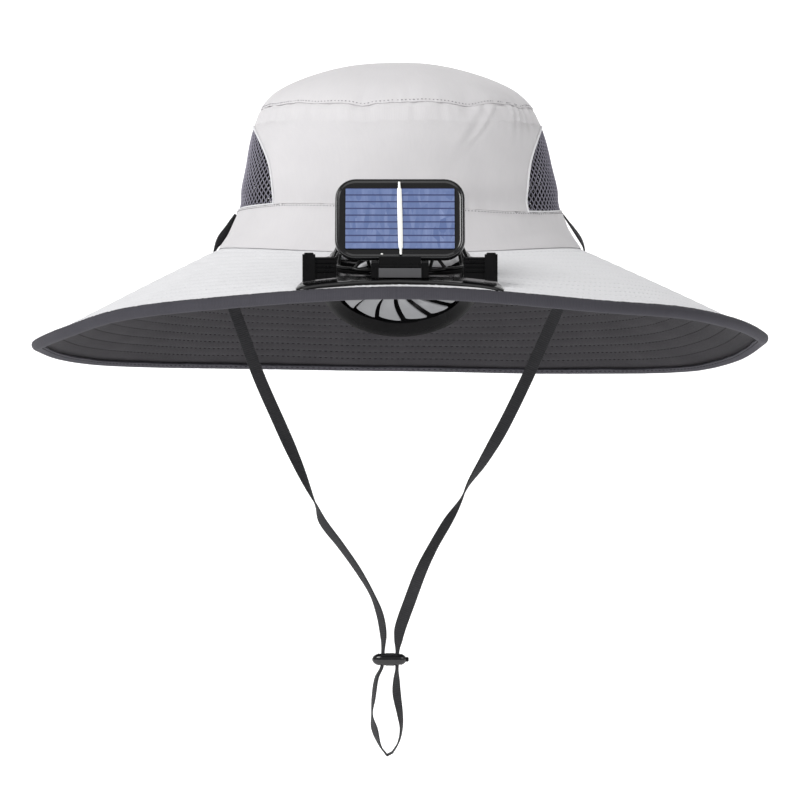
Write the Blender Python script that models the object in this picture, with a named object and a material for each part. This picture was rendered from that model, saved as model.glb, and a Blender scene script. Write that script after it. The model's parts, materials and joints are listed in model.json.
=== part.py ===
"""A wide sun hat with a small solar fan through its front brim. Metres, +Z up, the front of the hat faces -Y.

The origin is the middle of the head opening. A turn is an angle round the hat: 0 at the front, 90 at the
side on +X and 180 at the back. The fan pieces hang on empties that stand on the brim's own slope.
"""

import math

import bmesh
import bpy
from mathutils import Matrix, Vector
from mathutils.geometry import delaunay_2d_cdt

GAP = 0.0003
# How far joined solids reach into one another, and the soft edge of turned plastic
OVERLAP = 0.001
SOFT_EDGE = 0.001

# The crown and its band
HEAD_HALF_WIDTH = 0.0975
CROWN_LENGTHENING = 1.125
BAND_HEIGHT = 0.023
WALL_HEIGHT = 0.074
TIP_HEIGHT = 0.0251
SEAM_DIP = 0.0075
TIP_SEAM_DIP = 0.004
CROWN_LEAN = 0.0024
BAND_THICKNESS = 0.002
CLOTH_THICKNESS = 0.0015

# Height share of the wall, half width as a share of HEAD_HALF_WIDTH
WALL_ROWS = (
    (0.0, 1.000),
    (0.03, 0.984),
    (0.10, 0.950),
    (0.20, 0.913),
    (0.31, 0.882),
    (0.43, 0.875),
    (0.60, 0.847),
    (0.73, 0.828),
    (0.84, 0.806),
    (0.92, 0.782),
    (1.0, 0.757),
)
# Height share of the tip, radius as a share of the tip seam
TIP_ROWS = (
    (0.0, 1.0),
    (0.19, 0.951),
    (0.38, 0.878),
    (0.54, 0.778),
    (0.72, 0.622),
    (0.91, 0.370),
)

# Turn in degrees, height of the band's upper seam as a share of BAND_HEIGHT
BAND_SEAM_ROWS = (
    (-180, 0.90),
    (-135, 0.88),
    (-90, 0.85),
    (-60, 0.92),
    (-40, 1.00),
    (-20, 1.01),
    (0, 0.97),
    (22, 0.91),
    (40, 0.82),
    (60, 0.78),
    (90, 0.85),
    (135, 0.87),
    (180, 0.90),
)

# The net panels in the crown's sides
ARCH_HEIGHT = 0.0424
ARCH_HALF_TURN = math.radians(40.5)
ARCH_LEVELS = (0.0, 0.3, 0.55, 0.75, 0.9, 0.975, 1.0)
NET_THICKNESS = 0.0012
NET_REFERENCE_RADIUS = 0.0915
NET_COLUMN_PITCH = 0.0115
NET_ROW_PITCH = 0.0078
NET_BAR = 0.0024
NET_BORDER = 0.0030

# The brim
RIM_HALF_WIDTH = 0.196
RIM_HALF_LENGTH = 0.209
RIM_SHIFT = 0.005
BRIM_DROP = 0.052
BRIM_SEAM_LEVEL = 0.0012
BRIM_CROWNING = 0.001
BRIM_CLOTH = 0.0012
BINDING_WALL = 0.001
BINDING_WRAP = 0.0058
RIM_SEGMENTS = 48
CROWN_SEGMENTS = 36

# Turn in degrees, how far the rim hangs below the head opening as a share of BRIM_DROP
RIM_ROWS = (
    (-180, 1.200),
    (-150, 1.180),
    (-120, 1.164),
    (-105, 1.120),
    (-90, 1.046),
    (-75, 1.030),
    (-60, 0.940),
    (-45, 0.798),
    (-30, 0.722),
    (0, 0.627),
    (30, 0.735),
    (45, 0.772),
    (60, 0.856),
    (75, 0.952),
    (90, 0.990),
    (105, 1.130),
    (120, 1.225),
    (150, 1.236),
    (180, 1.200),
)

# The chin strap
STRAP_WIDTH = 0.0066
STRAP_THICKNESS = 0.0012
STRAP_GATHERED_WIDTH = 0.0033
STRAP_GATHERED_THICKNESS = 0.0023
STRAP_SPREAD = 0.100
STRAP_DROP = 0.2725
STRAP_LONGEST_STEP = 0.033
SLOT_CLEARANCE = 0.0006
SLOT_LEVEL = 0.004

# Drop as a share of STRAP_DROP, side as a share of STRAP_SPREAD, twist in degrees, gathering
STRAP_LEFT_ROWS = (
    (-0.055, -0.906, 90, 0.0),
    (-0.042, -0.922, 75, 0.0),
    (-0.020, -0.965, 75, 0.0),
    (0.000, -0.997, 85, 0.0),
    (0.016, -1.003, 90, 0.0),
    (0.060, -0.968, 60, 0.0),
    (0.120, -0.895, 20, 0.0),
    (0.250, -0.765, 5, 0.0),
    (0.350, -0.645, 0, 0.0),
    (0.420, -0.560, 35, 0.0),
    (0.480, -0.488, 75, 0.0),
    (0.510, -0.450, 100, 0.0),
    (0.541, -0.416, 130, 0.0),
    (0.588, -0.319, 125, 0.0),
    (0.636, -0.227, 120, 0.0),
    (0.684, -0.151, 112, 0.0),
    (0.725, -0.108, 125, 0.1),
    (0.765, -0.090, 125, 0.4),
    (0.798, -0.092, 95, 1.0),
    (0.828, -0.098, 90, 1.0),
    (0.850, -0.126, 105, 0.3),
    (0.890, -0.143, 105, 0.0),
    (0.921, -0.151, 92, 0.0),
    (0.950, -0.138, 120, 0.0),
    (0.985, -0.106, 98, 0.0),
    (1.003, -0.070, 90, 0.0),
)
STRAP_RIGHT_ROWS = (
    (-0.055, 0.912, 90, 0.0),
    (-0.042, 0.932, 75, 0.0),
    (-0.020, 0.971, 75, 0.0),
    (0.000, 0.994, 85, 0.0),
    (0.016, 0.990, 90, 0.0),
    (0.060, 0.940, 60, 0.0),
    (0.120, 0.853, 20, 0.0),
    (0.250, 0.693, 5, 0.0),
    (0.350, 0.560, 0, 0.0),
    (0.420, 0.450, 40, 0.0),
    (0.465, 0.370, 75, 0.0),
    (0.500, 0.325, 100, 0.0),
    (0.541, 0.256, 135, 0.0),
    (0.588, 0.181, 140, 0.0),
    (0.636, 0.116, 160, 0.0),
    (0.700, 0.050, 175, 0.0),
    (0.750, 0.002, 175, 0.1),
    (0.775, -0.009, 150, 0.5),
    (0.798, -0.014, 100, 1.0),
    (0.828, -0.016, 90, 1.0),
    (0.850, -0.019, 60, 0.4),
    (0.880, -0.018, 50, 0.0),
    (0.921, 0.000, 65, 0.0),
    (0.950, 0.007, 80, 0.0),
    (0.977, -0.008, 86, 0.0),
    (0.997, -0.040, 90, 0.0),
)

# The cord lock
LOCK_SPAN = (-0.0151, 0.0036)
LOCK_DEPTH = 0.0078
LOCK_HEIGHT = 0.0075
LOCK_SHARE = 0.813
LOCK_END = 0.30
LOCK_HOLE_WIDTH = 0.0036
LOCK_HOLE_DEPTH = 0.0046
BUTTON_RADIUS = 0.0013
BUTTON_LENGTH = 0.0022
BUTTON_PROUD = 0.0012

# The fan
# The rim's front edge to the fan's axis, to the panel's hinge and to the side brackets
FAN_SETBACK = 0.063
HINGE_SETBACK = 0.021
SIDE_POST_SETBACK = 0.023
RIM_FRONT_Y = -RIM_SHIFT - RIM_HALF_LENGTH
FAN_CENTRE_Y = RIM_FRONT_Y + FAN_SETBACK
BRIM_HOLE_RADIUS = 0.036
BRIM_HOLE_CUTTER_HALF = 0.020
FAN_SEGMENTS = 36
SLEEVE_WALL = 0.0025
FLANGE_THICKNESS = 0.0018
FLANGE_EDGE = 0.0008
GUARD_HALF = 0.0345
GUARD_TOP_HALF = 0.029
GUARD_HEIGHT = 0.015
GUARD_THICKNESS = 0.0016
GUARD_SQUARENESS = 3.0
GUARD_RIBS = 12
SPIDER_THICKNESS = 0.0025
SPIDER_HUB_RADIUS = 0.009
SPIDER_ARM_HALF = 0.0022
SPIDER_BORE = 1.4
MOTOR_RADIUS = 0.008
MOTOR_HEIGHT = 0.0080
SHAFT_RADIUS = 0.0011
SHAFT_RISE = 0.004
ROTOR_RADIUS = 0.030
ROTOR_HUB_RADIUS = 0.009
ROTOR_HUB_HEIGHT = 0.008
ROTOR_BLADES = 7
# A blade's values at its root and at its tip
BLADE_HALF_CHORD = (0.0032, 0.0068)
BLADE_HALF_RISE = (0.0026, 0.0020)
BLADE_HALF_THICKNESS = 0.0006
BLADE_SWEEP = 0.35
DUCT_RADIUS = 0.0385
DUCT_WALL = 0.0023
LIP_HALF_WIDTH = 0.0375
LIP_HALF_LENGTH = 0.034
LIP_DROP = 0.0126
LIP_DIP = 0.020
LIP_INNER_HALF_WIDTH = 0.031
LIP_INNER_HALF_LENGTH = 0.029
LIP_INNER_DROP = 0.0119
LIP_INNER_DIP = 0.0137
FIN_HUB_RADIUS = 0.010
FIN_HUB_DROP = 0.0008
FIN_THICKNESS = 0.0012
FIN_COUNT = 14
FIN_SWIRL = 0.28
FIN_RIM_LIFT = 0.0018
FIN_PITCH = 0.0004
# Half the width of a fin at the hub and at the rim, as a share of the pitch
FIN_HALF_SHARE = (0.30, 0.39)

# Turn round the fan in degrees, radius of the flange as a share of the brim hole's radius
FLANGE_ROWS = (
    (0, 1.458),
    (22.5, 1.561),
    (37.5, 1.764),
    (45, 1.917),
    (52.5, 1.819),
    (60, 1.528),
    (75, 1.319),
    (90, 1.278),
    (120, 1.194),
    (150, 1.111),
    (180, 1.089),
)

# The solar panel and its hinge
PANEL_WIDTH = 0.0615
PANEL_HEIGHT = 0.040
PANEL_THICKNESS = 0.0055
PANEL_CORNER = 0.008
PANEL_ROUNDING = 0.0012
PANEL_LEAN = math.radians(15)
PANEL_FORWARD = 0.0015
CELL_WIDTH = 0.0515
CELL_HEIGHT = 0.0300
CELL_THICKNESS = 0.0007
CELL_RECESS = 0.0011
BUSBAR_WIDTH = 0.0025
BUSBAR_HEIGHT = 0.0290
BUSBAR_THICKNESS = 0.0004
HINGE_Y = RIM_FRONT_Y + HINGE_SETBACK
HINGE_HEIGHT = 0.0056
EAR_RADIUS = 0.0023
PIN_RADIUS = 0.001
LUG_RADIUS = 0.0021
BRACKET_WIDTH = 0.027
EAR_WIDTH = 0.0035
BRACKET_FLOOR = 0.0015
COVER_WIDTH = 0.020
COVER_THICKNESS = 0.0008
COVER_DROP = 0.0014
SIDE_POST = (0.040, 0.046)
SIDE_POST_DEPTH = 0.0045
SIDE_POST_HEIGHT = 0.0131
SIDE_WALL_INNER = 0.030
SIDE_WALL_DEPTH = 0.0020
SIDE_WALL_SETBACK = 0.0012
SIDE_WALL_STEP = 0.0013
SIDE_POST_FRONT_Y = RIM_FRONT_Y + SIDE_POST_SETBACK
FOOT_CLEARANCE = 0.0008

# Name: colour, roughness, metallic
FINISHES = {
    "light_cloth": ((0.72, 0.71, 0.72, 1.0), 0.85, 0.0),
    "brim_cloth": ((0.80, 0.80, 0.81, 1.0), 0.85, 0.0),
    "dark_cloth": ((0.05, 0.05, 0.055, 1.0), 0.9, 0.0),
    "binding_cloth": ((0.07, 0.07, 0.08, 1.0), 0.8, 0.0),
    "net": ((0.12, 0.11, 0.14, 1.0), 0.8, 0.0),
    "strap": ((0.035, 0.035, 0.045, 1.0), 0.75, 0.0),
    "black_plastic": ((0.012, 0.012, 0.013, 1.0), 0.35, 0.0),
    "grey_plastic": ((0.30, 0.31, 0.32, 1.0), 0.25, 0.0),
    "dark_metal": ((0.35, 0.35, 0.37, 1.0), 0.35, 1.0),
    "solar_cell": ((0.09, 0.12, 0.30, 1.0), 0.2, 0.0),
    "solder": ((0.75, 0.75, 0.75, 1.0), 0.4, 0.3),
}


def read_table(rows, at, loop=False):
    """The other columns of a table at a value of its first column, on a smooth curve through the rows."""
    at = min(max(at, rows[0][0]), rows[-1][0])
    place = 0
    while place < len(rows) - 2 and at > rows[place + 1][0]:
        place += 1
    low = rows[place]
    high = rows[place + 1]
    before = rows[place - 1] if place else low
    after = rows[place + 2] if place < len(rows) - 2 else high
    whole = rows[-1][0] - rows[0][0]
    if loop and place == 0:
        before = (rows[-2][0] - whole,) + tuple(rows[-2][1:])
    if loop and place == len(rows) - 2:
        after = (rows[1][0] + whole,) + tuple(rows[1][1:])
    span = high[0] - low[0]
    t = (at - low[0]) / span
    values = []
    for column in range(1, len(low)):
        slope_low = (high[column] - before[column]) / (high[0] - before[0]) * span
        slope_high = (after[column] - low[column]) / (after[0] - low[0]) * span
        rise = (2 * t**3 - 3 * t**2 + 1) * low[column] + (3 * t**2 - 2 * t**3) * high[column]
        bend = (t**3 - 2 * t**2 + t) * slope_low + (t**3 - t**2) * slope_high
        values.append(rise + bend)
    return values


def mix(low, high, share):
    return low + (high - low) * share


def turns(count):
    return [math.tau * step / count for step in range(count)]


def crown_point(turn, rise, inset):
    """A point of the crown's wall. Rise is 0 at the brim and 1 at the tip seam, inset is depth in the cloth."""
    half = HEAD_HALF_WIDTH * read_table(WALL_ROWS, rise)[0]
    dip = mix(SEAM_DIP, TIP_SEAM_DIP, rise) * math.cos(turn) ** 2
    x = (half - inset) * math.sin(turn) - CROWN_LEAN * 0.7 * rise**2
    y = -(half * CROWN_LENGTHENING - inset) * math.cos(turn)
    return Vector((x, y, WALL_HEIGHT * rise - dip))


def tip_point(turn, rise, depth):
    """A point of the rounded tip that closes the crown. Rise is 0 at the tip seam."""
    seam_half = HEAD_HALF_WIDTH * WALL_ROWS[-1][1]
    radius = read_table(TIP_ROWS, rise)[0] if rise < 1 else 0.0
    dip = TIP_SEAM_DIP * math.cos(turn) ** 2 * (1 - rise)
    x = (seam_half - depth) * radius * math.sin(turn) - CROWN_LEAN * mix(0.7, 1.0, rise)
    y = -(seam_half * CROWN_LENGTHENING - depth) * radius * math.cos(turn)
    return Vector((x, y, WALL_HEIGHT + GAP - dip + (TIP_HEIGHT - depth) * rise))


def rim_level(turn):
    degrees = (math.degrees(turn) + 180) % 360 - 180
    return -BRIM_DROP * read_table(RIM_ROWS, degrees, loop=True)[0]


def brim_halves(share):
    """Half width, half length and middle of the brim's oval at a share of the way from band to rim."""
    seam_half_width = HEAD_HALF_WIDTH - BAND_THICKNESS
    seam_half_length = HEAD_HALF_WIDTH * CROWN_LENGTHENING - BAND_THICKNESS
    half_width = mix(seam_half_width, RIM_HALF_WIDTH, share)
    half_length = mix(seam_half_length, RIM_HALF_LENGTH, share)
    return half_width, half_length, -RIM_SHIFT * share


def brim_point(turn, share, lift):
    half_width, half_length, middle = brim_halves(share)
    seam = -BRIM_SEAM_LEVEL - SEAM_DIP * math.cos(turn) ** 2
    z = mix(seam, rim_level(turn), share) + BRIM_CROWNING * 4 * share * (1 - share)
    return Vector((half_width * math.sin(turn), middle - half_length * math.cos(turn), z + lift))


def brim_level(x, y):
    """Height of the brim's middle surface above the point (x, y)."""
    low = -0.1
    high = 1.1
    for _ in range(40):
        share = (low + high) / 2
        half_width, half_length, middle = brim_halves(share)
        if (x / half_width) ** 2 + ((y - middle) / half_length) ** 2 > 1:
            low = share
        else:
            high = share
    turn = math.atan2(x / half_width, -(y - middle) / half_length)
    return brim_point(turn, share, 0).z


BRIM_HALF = BRIM_CLOTH + GAP / 2
FAN_LEVEL = brim_level(0, FAN_CENTRE_Y)
FAN_TILT = math.atan2(
    brim_level(0, FAN_CENTRE_Y + BRIM_HOLE_RADIUS) - brim_level(0, FAN_CENTRE_Y - BRIM_HOLE_RADIUS),
    2 * BRIM_HOLE_RADIUS,
)
FAN_DECK = BRIM_HALF + GAP + FLANGE_THICKNESS
FIN_LEVEL = FAN_LEVEL - LIP_DROP
HINGE_LEVEL = brim_level(0, HINGE_Y) + FAN_DECK + HINGE_HEIGHT
SIDE_POST_TOP_LEVEL = brim_level(SIDE_POST[0], SIDE_POST_FRONT_Y) + FAN_DECK + SIDE_POST_HEIGHT


def new_object(name, mesh_data, finish):
    mesh = bpy.data.meshes.new(name)
    bmesh.ops.recalc_face_normals(mesh_data, faces=mesh_data.faces)
    if mesh_data.calc_volume(signed=True) < 0:
        bmesh.ops.reverse_faces(mesh_data, faces=mesh_data.faces)
    mesh_data.to_mesh(mesh)
    mesh_data.free()
    mesh.shade_smooth()
    mesh.set_sharp_from_angle(angle=math.radians(35))
    piece = bpy.data.objects.new(name, mesh)
    bpy.context.scene.collection.objects.link(piece)
    if finish:
        mesh.materials.append(material(finish))
    return piece


def material(finish):
    if finish in bpy.data.materials:
        return bpy.data.materials[finish]
    colour, roughness, metallic = FINISHES[finish]
    made = bpy.data.materials.new(finish)
    made.use_nodes = True
    shader = made.node_tree.nodes["Principled BSDF"]
    shader.inputs["Base Color"].default_value = colour
    shader.inputs["Roughness"].default_value = roughness
    shader.inputs["Metallic"].default_value = metallic
    return made


def add_row(mesh_data, points):
    return [mesh_data.verts.new(point) for point in points]


def bridge(mesh_data, first, second, loop):
    """Faces between two rows of as many points, or between a row and a single point."""
    count = max(len(first), len(second))
    for step in range(count if loop else count - 1):
        following = (step + 1) % count
        corners = []
        for row, places in ((first, (step, following)), (second, (following, step))):
            corners += [row[0]] if len(row) == 1 else [row[place] for place in places]
        mesh_data.faces.new(corners)


def shell(name, outer, inner, loop, finish):
    """A closed wall between two grids of rows. A last row of one point closes a dome."""
    made = bmesh.new()
    outside = [add_row(made, row) for row in outer]
    inside = [add_row(made, row) for row in inner]
    for side in (outside, inside):
        for low, high in zip(side, side[1:]):
            bridge(made, low, high, loop)
    bridge(made, outside[0], inside[0], loop)
    if len(outside[-1]) > 1:
        bridge(made, outside[-1], inside[-1], loop)
    if not loop:
        for end in (0, -1):
            bridge(made, [row[end] for row in outside], [row[end] for row in inside], False)
    return new_object(name, made, finish)


def lofted(name, sections, finish, ring=False):
    """A solid through closed sections of as many points, capped at its ends or run round in a ring."""
    made = bmesh.new()
    rows = [add_row(made, section) for section in sections]
    for low, high in zip(rows, rows[1:]):
        bridge(made, low, high, True)
    if ring:
        bridge(made, rows[-1], rows[0], True)
    for end in () if ring else (rows[0], rows[-1]):
        if len(end) > 2:
            made.faces.new(end)
    return new_object(name, made, finish)


def turned(name, profile, sides, finish):
    """A turned solid from (radius, height) points that begin and end on the axis."""
    sections = []
    for radius, height in profile:
        points = [Vector((0, 0, height))]
        if radius > 0:
            points = [Vector((radius * math.sin(a), radius * math.cos(a), height)) for a in turns(sides)]
        sections.append(points)
    return lofted(name, sections, finish)


def box(name, low, high, finish):
    corners = []
    for z in (low[2], high[2]):
        corners.append([Vector((x, y, z)) for x, y in
                        ((low[0], low[1]), (high[0], low[1]), (high[0], high[1]), (low[0], high[1]))])
    return lofted(name, corners, finish)


def pierced(name, outline, holes, outer, inner, finish):
    """A wall with holes cut through it, drawn flat and laid on its outer and inner surfaces."""
    points = []
    loops = []
    for loop in [outline] + holes:
        loops.append(list(range(len(points), len(points) + len(loop))))
        points += loop
    edges = [(loop[step - 1], loop[step]) for loop in loops for step in range(len(loop))]
    flat, _, faces, _, _, _ = delaunay_2d_cdt([Vector(point) for point in points], edges, [], 2, 1e-7)
    made = bmesh.new()
    outside = add_row(made, [outer(*point) for point in flat])
    inside = add_row(made, [inner(*point) for point in flat])
    for face in faces:
        middle = sum((flat[corner] for corner in face), Vector((0, 0))) / len(face)
        if not holds(outline, middle) or any(holds(hole, middle) for hole in holes):
            continue
        made.faces.new([outside[corner] for corner in face])
        made.faces.new([inside[corner] for corner in reversed(face)])
    twins = dict(zip(outside, inside))
    for edge in [edge for edge in made.edges if edge.is_boundary and edge.verts[0] in twins]:
        first, second = edge.verts
        made.faces.new([first, second, twins[second], twins[first]])
    return new_object(name, made, finish)


def holds(outline, point):
    """Whether a flat outline has the point inside it."""
    inside = False
    for step in range(len(outline)):
        (x0, y0), (x1, y1) = outline[step - 1], outline[step]
        if (y0 > point[1]) != (y1 > point[1]):
            if point[0] < x0 + (point[1] - y0) / (y1 - y0) * (x1 - x0):
                inside = not inside
    return inside


def boolean(piece, other, operation):
    other.hide_render = True
    other.display_type = "WIRE"
    change = piece.modifiers.new(operation.lower(), "BOOLEAN")
    change.operation = operation
    change.object = other


def arch_half_turn(level):
    """Half the turn that a net panel covers, at a share of its height."""
    return ARCH_HALF_TURN * math.sqrt(max(0.0, 1 - level**2))


def band_rise(turn):
    """Height share of the wall at which the band's upper seam runs."""
    degrees = (math.degrees(turn) + 180) % 360 - 180
    return BAND_HEIGHT / WALL_HEIGHT * read_table(BAND_SEAM_ROWS, degrees, loop=True)[0]


def arch_rise(turn, level):
    """Height share of the wall at a share of the way from the band's seam to the tops of the arches."""
    return mix(band_rise(turn), (BAND_HEIGHT + ARCH_HEIGHT) / WALL_HEIGHT, level)


def wall_rise(turn, level):
    """As arch_rise for the cloth walls, which stand on the band and end at the tip seam, where level is None."""
    if level is None:
        return 1.0
    return arch_rise(turn, level) + (0.0 if level else GAP / WALL_HEIGHT)


def crown_cloth(name, middle_turn):
    """The front or back half of the crown's wall, cut away at both sides for the net panels."""
    columns = 12
    outer = []
    inner = []
    for level in ARCH_LEVELS + (None,):
        cut = 0.0 if level is None else arch_half_turn(level)
        half = math.pi / 2 - max(cut, GAP / 2 / HEAD_HALF_WIDTH)
        row = [middle_turn - half + 2 * half * step / columns for step in range(columns + 1)]
        outer.append([crown_point(turn, wall_rise(turn, level), 0) for turn in row])
        inner.append([crown_point(turn, wall_rise(turn, level), CLOTH_THICKNESS) for turn in row])
    return shell(name, outer, inner, False, "light_cloth")


def net_panel(name, middle_turn):
    """One arched net panel: a wall pierced by rows of diamonds, each row moved half a pitch."""
    half_base = ARCH_HALF_TURN * NET_REFERENCE_RADIUS
    foot = GAP
    outline = []
    for level in ARCH_LEVELS:
        outline.append((arch_half_turn(level) * NET_REFERENCE_RADIUS - 2 * GAP, ARCH_HEIGHT * level))
    outline[0] = (outline[0][0], foot)
    peak = (0.0, ARCH_HEIGHT - 2 * GAP)
    flank = outline[:-1]
    base = [(share * flank[0][0], foot) for share in (-0.6, -0.2, 0.2, 0.6)]
    outline = flank + [peak] + [(-x, z) for x, z in reversed(flank)] + base

    half_across = NET_COLUMN_PITCH / 2 - NET_BAR / 2
    half_up = NET_ROW_PITCH - NET_BAR
    holes = []
    rows = int(ARCH_HEIGHT / NET_ROW_PITCH) + 1
    columns = int(half_base / NET_COLUMN_PITCH) + 1
    for row in range(rows):
        z = NET_BORDER + half_up + row * NET_ROW_PITCH
        for column in range(-columns, columns + 1):
            x = (column + 0.5 * (row % 2)) * NET_COLUMN_PITCH
            hole = [(x - half_across, z), (x, z - half_up), (x + half_across, z), (x, z + half_up)]
            if all(net_has_room(point, half_base) for point in hole):
                holes.append(hole)

    def on_crown(inset):
        def place(across, up):
            turn = middle_turn + across / NET_REFERENCE_RADIUS
            return crown_point(turn, arch_rise(turn, up / ARCH_HEIGHT), inset)
        return place

    return pierced(name, outline, holes, on_crown(0), on_crown(NET_THICKNESS), "net")


def net_has_room(point, half_base):
    across = point[0] / (half_base - NET_BORDER)
    up = point[1] / (ARCH_HEIGHT - NET_BORDER)
    return across**2 + up**2 < 1


def hat_band():
    outer = []
    inner = []
    lift = BRIM_HALF + GAP
    for share in (0.0, 0.3, 0.6, 1.0):
        outer.append([crown_point(turn, share * band_rise(turn), 0) for turn in turns(CROWN_SEGMENTS)])
        inner.append([crown_point(turn, share * band_rise(turn), BAND_THICKNESS) for turn in turns(CROWN_SEGMENTS)])
    for row in (outer[0], inner[0]):
        for point in row:
            point.z = brim_level(point.x, point.y) + lift
    return shell("hat_band", outer, inner, True, "light_cloth")


def crown_tip():
    outer = []
    inner = []
    for rise, _ in TIP_ROWS:
        outer.append([tip_point(turn, rise, 0) for turn in turns(CROWN_SEGMENTS)])
        inner.append([tip_point(turn, rise, CLOTH_THICKNESS) for turn in turns(CROWN_SEGMENTS)])
    outer.append([tip_point(0, 1, 0)])
    inner.append([tip_point(0, 1, CLOTH_THICKNESS)])
    return shell("crown_tip", outer, inner, True, "light_cloth")


def brim_layer(name, top, finish):
    """One cloth layer of the brim, from under the band to just inside the binding."""
    edge = 1 - (2 * BINDING_WALL + 2 * GAP) / (RIM_HALF_WIDTH - HEAD_HALF_WIDTH)
    shares = (0.0, 0.3, 0.65, edge)
    lift = (GAP, BRIM_HALF) if top else (-BRIM_HALF, -GAP)
    faces = []
    for height in lift:
        faces.append([[brim_point(turn, share, height) for turn in turns(RIM_SEGMENTS)] for share in shares])
    return shell(name, faces[0], faces[1], True, finish)


def brim_binding():
    """The folded tape round the rim: a U in section that takes both layers of the brim."""
    inside = BRIM_HALF + GAP
    outside = inside + BINDING_WALL
    section = (
        (BINDING_WRAP, outside),
        (BINDING_WALL, outside),
        (0.0, 0.0),
        (BINDING_WALL, -outside),
        (BINDING_WRAP, -outside),
        (BINDING_WRAP, -inside),
        (2 * BINDING_WALL, -inside),
        (2 * BINDING_WALL, inside),
        (BINDING_WRAP, inside),
    )
    sections = []
    for turn in turns(RIM_SEGMENTS):
        rim = brim_point(turn, 1, 0)
        inward = (brim_point(turn, 0.9, 0) - rim).normalized()
        along = Vector((0, 0, 1)).cross(inward).normalized()
        up = inward.cross(along).normalized()
        sections.append([rim + inward * depth + up * height for depth, height in section])
    return lofted("brim_binding", sections, "binding_cloth", ring=True)


def strap_route():
    """The strap's middle line with its twist and gathering, from the left seam down round to the right."""
    stations = []
    for rows in (STRAP_LEFT_ROWS, STRAP_RIGHT_ROWS):
        side = []
        for low, high in zip(rows, rows[1:]):
            steps = 2 if high[0] - low[0] > STRAP_LONGEST_STEP else 1
            for step in range(steps):
                drop = mix(low[0], high[0], step / steps)
                across, twist, gathering = read_table(rows, drop)
                side.append((across, drop, twist, min(max(gathering, 0.0), 1.0)))
        across, twist, gathering = rows[-1][1:]
        side.append((across, rows[-1][0], twist, gathering))
        stations.append(side)
    left, right = stations
    route = left + [(a, d, 180 - t, g) for a, d, t, g in reversed(right)]
    return [(Vector((a * STRAP_SPREAD, 0, -d * STRAP_DROP)), t, g) for a, d, t, g in route]


def chin_strap():
    route = strap_route()
    sections = []
    for place, (point, twist, gathering) in enumerate(route):
        before = route[max(place - 1, 0)][0]
        after = route[min(place + 1, len(route) - 1)][0]
        along = (after - before).normalized()
        across = Vector((0, 1, 0))
        outward = along.cross(across)
        angle = math.radians(twist)
        wide = outward * math.cos(angle) + across * math.sin(angle)
        thick = wide.cross(along)
        half_wide = mix(STRAP_WIDTH, STRAP_GATHERED_WIDTH, gathering) / 2
        half_thick = mix(STRAP_THICKNESS, STRAP_GATHERED_THICKNESS, gathering) / 2
        corners = ((1, 1), (-1, 1), (-1, -1), (1, -1))
        sections.append([point + wide * a * half_wide + thick * b * half_thick for a, b in corners])
    return lofted("chin_strap", sections, "strap")


def strap_slot(side):
    """A cutter for the buttonhole that the strap passes through, just outside the band."""
    rows = STRAP_RIGHT_ROWS if side > 0 else STRAP_LEFT_ROWS
    across = read_table(rows, SLOT_LEVEL / STRAP_DROP)[0] * STRAP_SPREAD
    half = Vector((STRAP_THICKNESS / 2 + 2 * SLOT_CLEARANCE, STRAP_WIDTH / 2 + SLOT_CLEARANCE, 3 * BRIM_HALF))
    middle = Vector((across, 0, brim_level(across, 0)))
    return box("slot_cutter", middle - half, middle + half, None)


def cord_lock():
    """A bean of plastic with a hole for each run of the strap and a sprung button at one end."""
    level = -LOCK_SHARE * STRAP_DROP
    left, right = LOCK_SPAN
    middle = (left + right) / 2
    half_span = (right - left) / 2
    sections = []
    for share in (-1.0, -0.97, -0.85, -0.55, 0.0, 0.55, 0.85, 0.97, 1.0):
        size = max(LOCK_END, math.sqrt(max(0.0, 1 - abs(share) ** 3)))
        ring = []
        for angle in turns(12):
            y = math.copysign(abs(math.cos(angle)) ** 0.8, math.cos(angle)) * LOCK_DEPTH / 2 * size
            z = math.copysign(abs(math.sin(angle)) ** 0.8, math.sin(angle)) * LOCK_HEIGHT / 2 * size
            ring.append(Vector((middle + share * half_span, y, level + z)))
        sections.append(ring)
    lock = lofted("cord_lock", sections, "black_plastic")
    for rows in (STRAP_LEFT_ROWS, STRAP_RIGHT_ROWS):
        across = read_table(rows, LOCK_SHARE)[0] * STRAP_SPREAD
        half = Vector((LOCK_HOLE_WIDTH / 2, LOCK_HOLE_DEPTH / 2, LOCK_HEIGHT))
        place = Vector((across, 0, level))
        boolean(lock, box("lock_hole_cutter", place - half, place + half, None), "DIFFERENCE")
    reach = BUTTON_LENGTH - BUTTON_PROUD + SOFT_EDGE + GAP
    drill = turned("button_hole_cutter", pin_profile(BUTTON_RADIUS + GAP, 2 * reach), 12, None)
    drill.matrix_world = Matrix.Translation((right - reach, 0, level)) @ Matrix.Rotation(math.pi / 2, 4, "Y")
    boolean(lock, drill, "DIFFERENCE")
    button = turned("lock_button", pin_profile(BUTTON_RADIUS, BUTTON_LENGTH), 12, "black_plastic")
    start = right + BUTTON_PROUD - BUTTON_LENGTH
    button.matrix_world = Matrix.Translation((start, 0, level)) @ Matrix.Rotation(math.pi / 2, 4, "Y")


def pin_profile(radius, length):
    return ((0.0, 0.0), (radius, 0.0), (radius, length), (0.0, length))


def fan_point(turn, radius):
    return radius * math.sin(turn), FAN_CENTRE_Y - radius * math.cos(turn)


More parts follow.
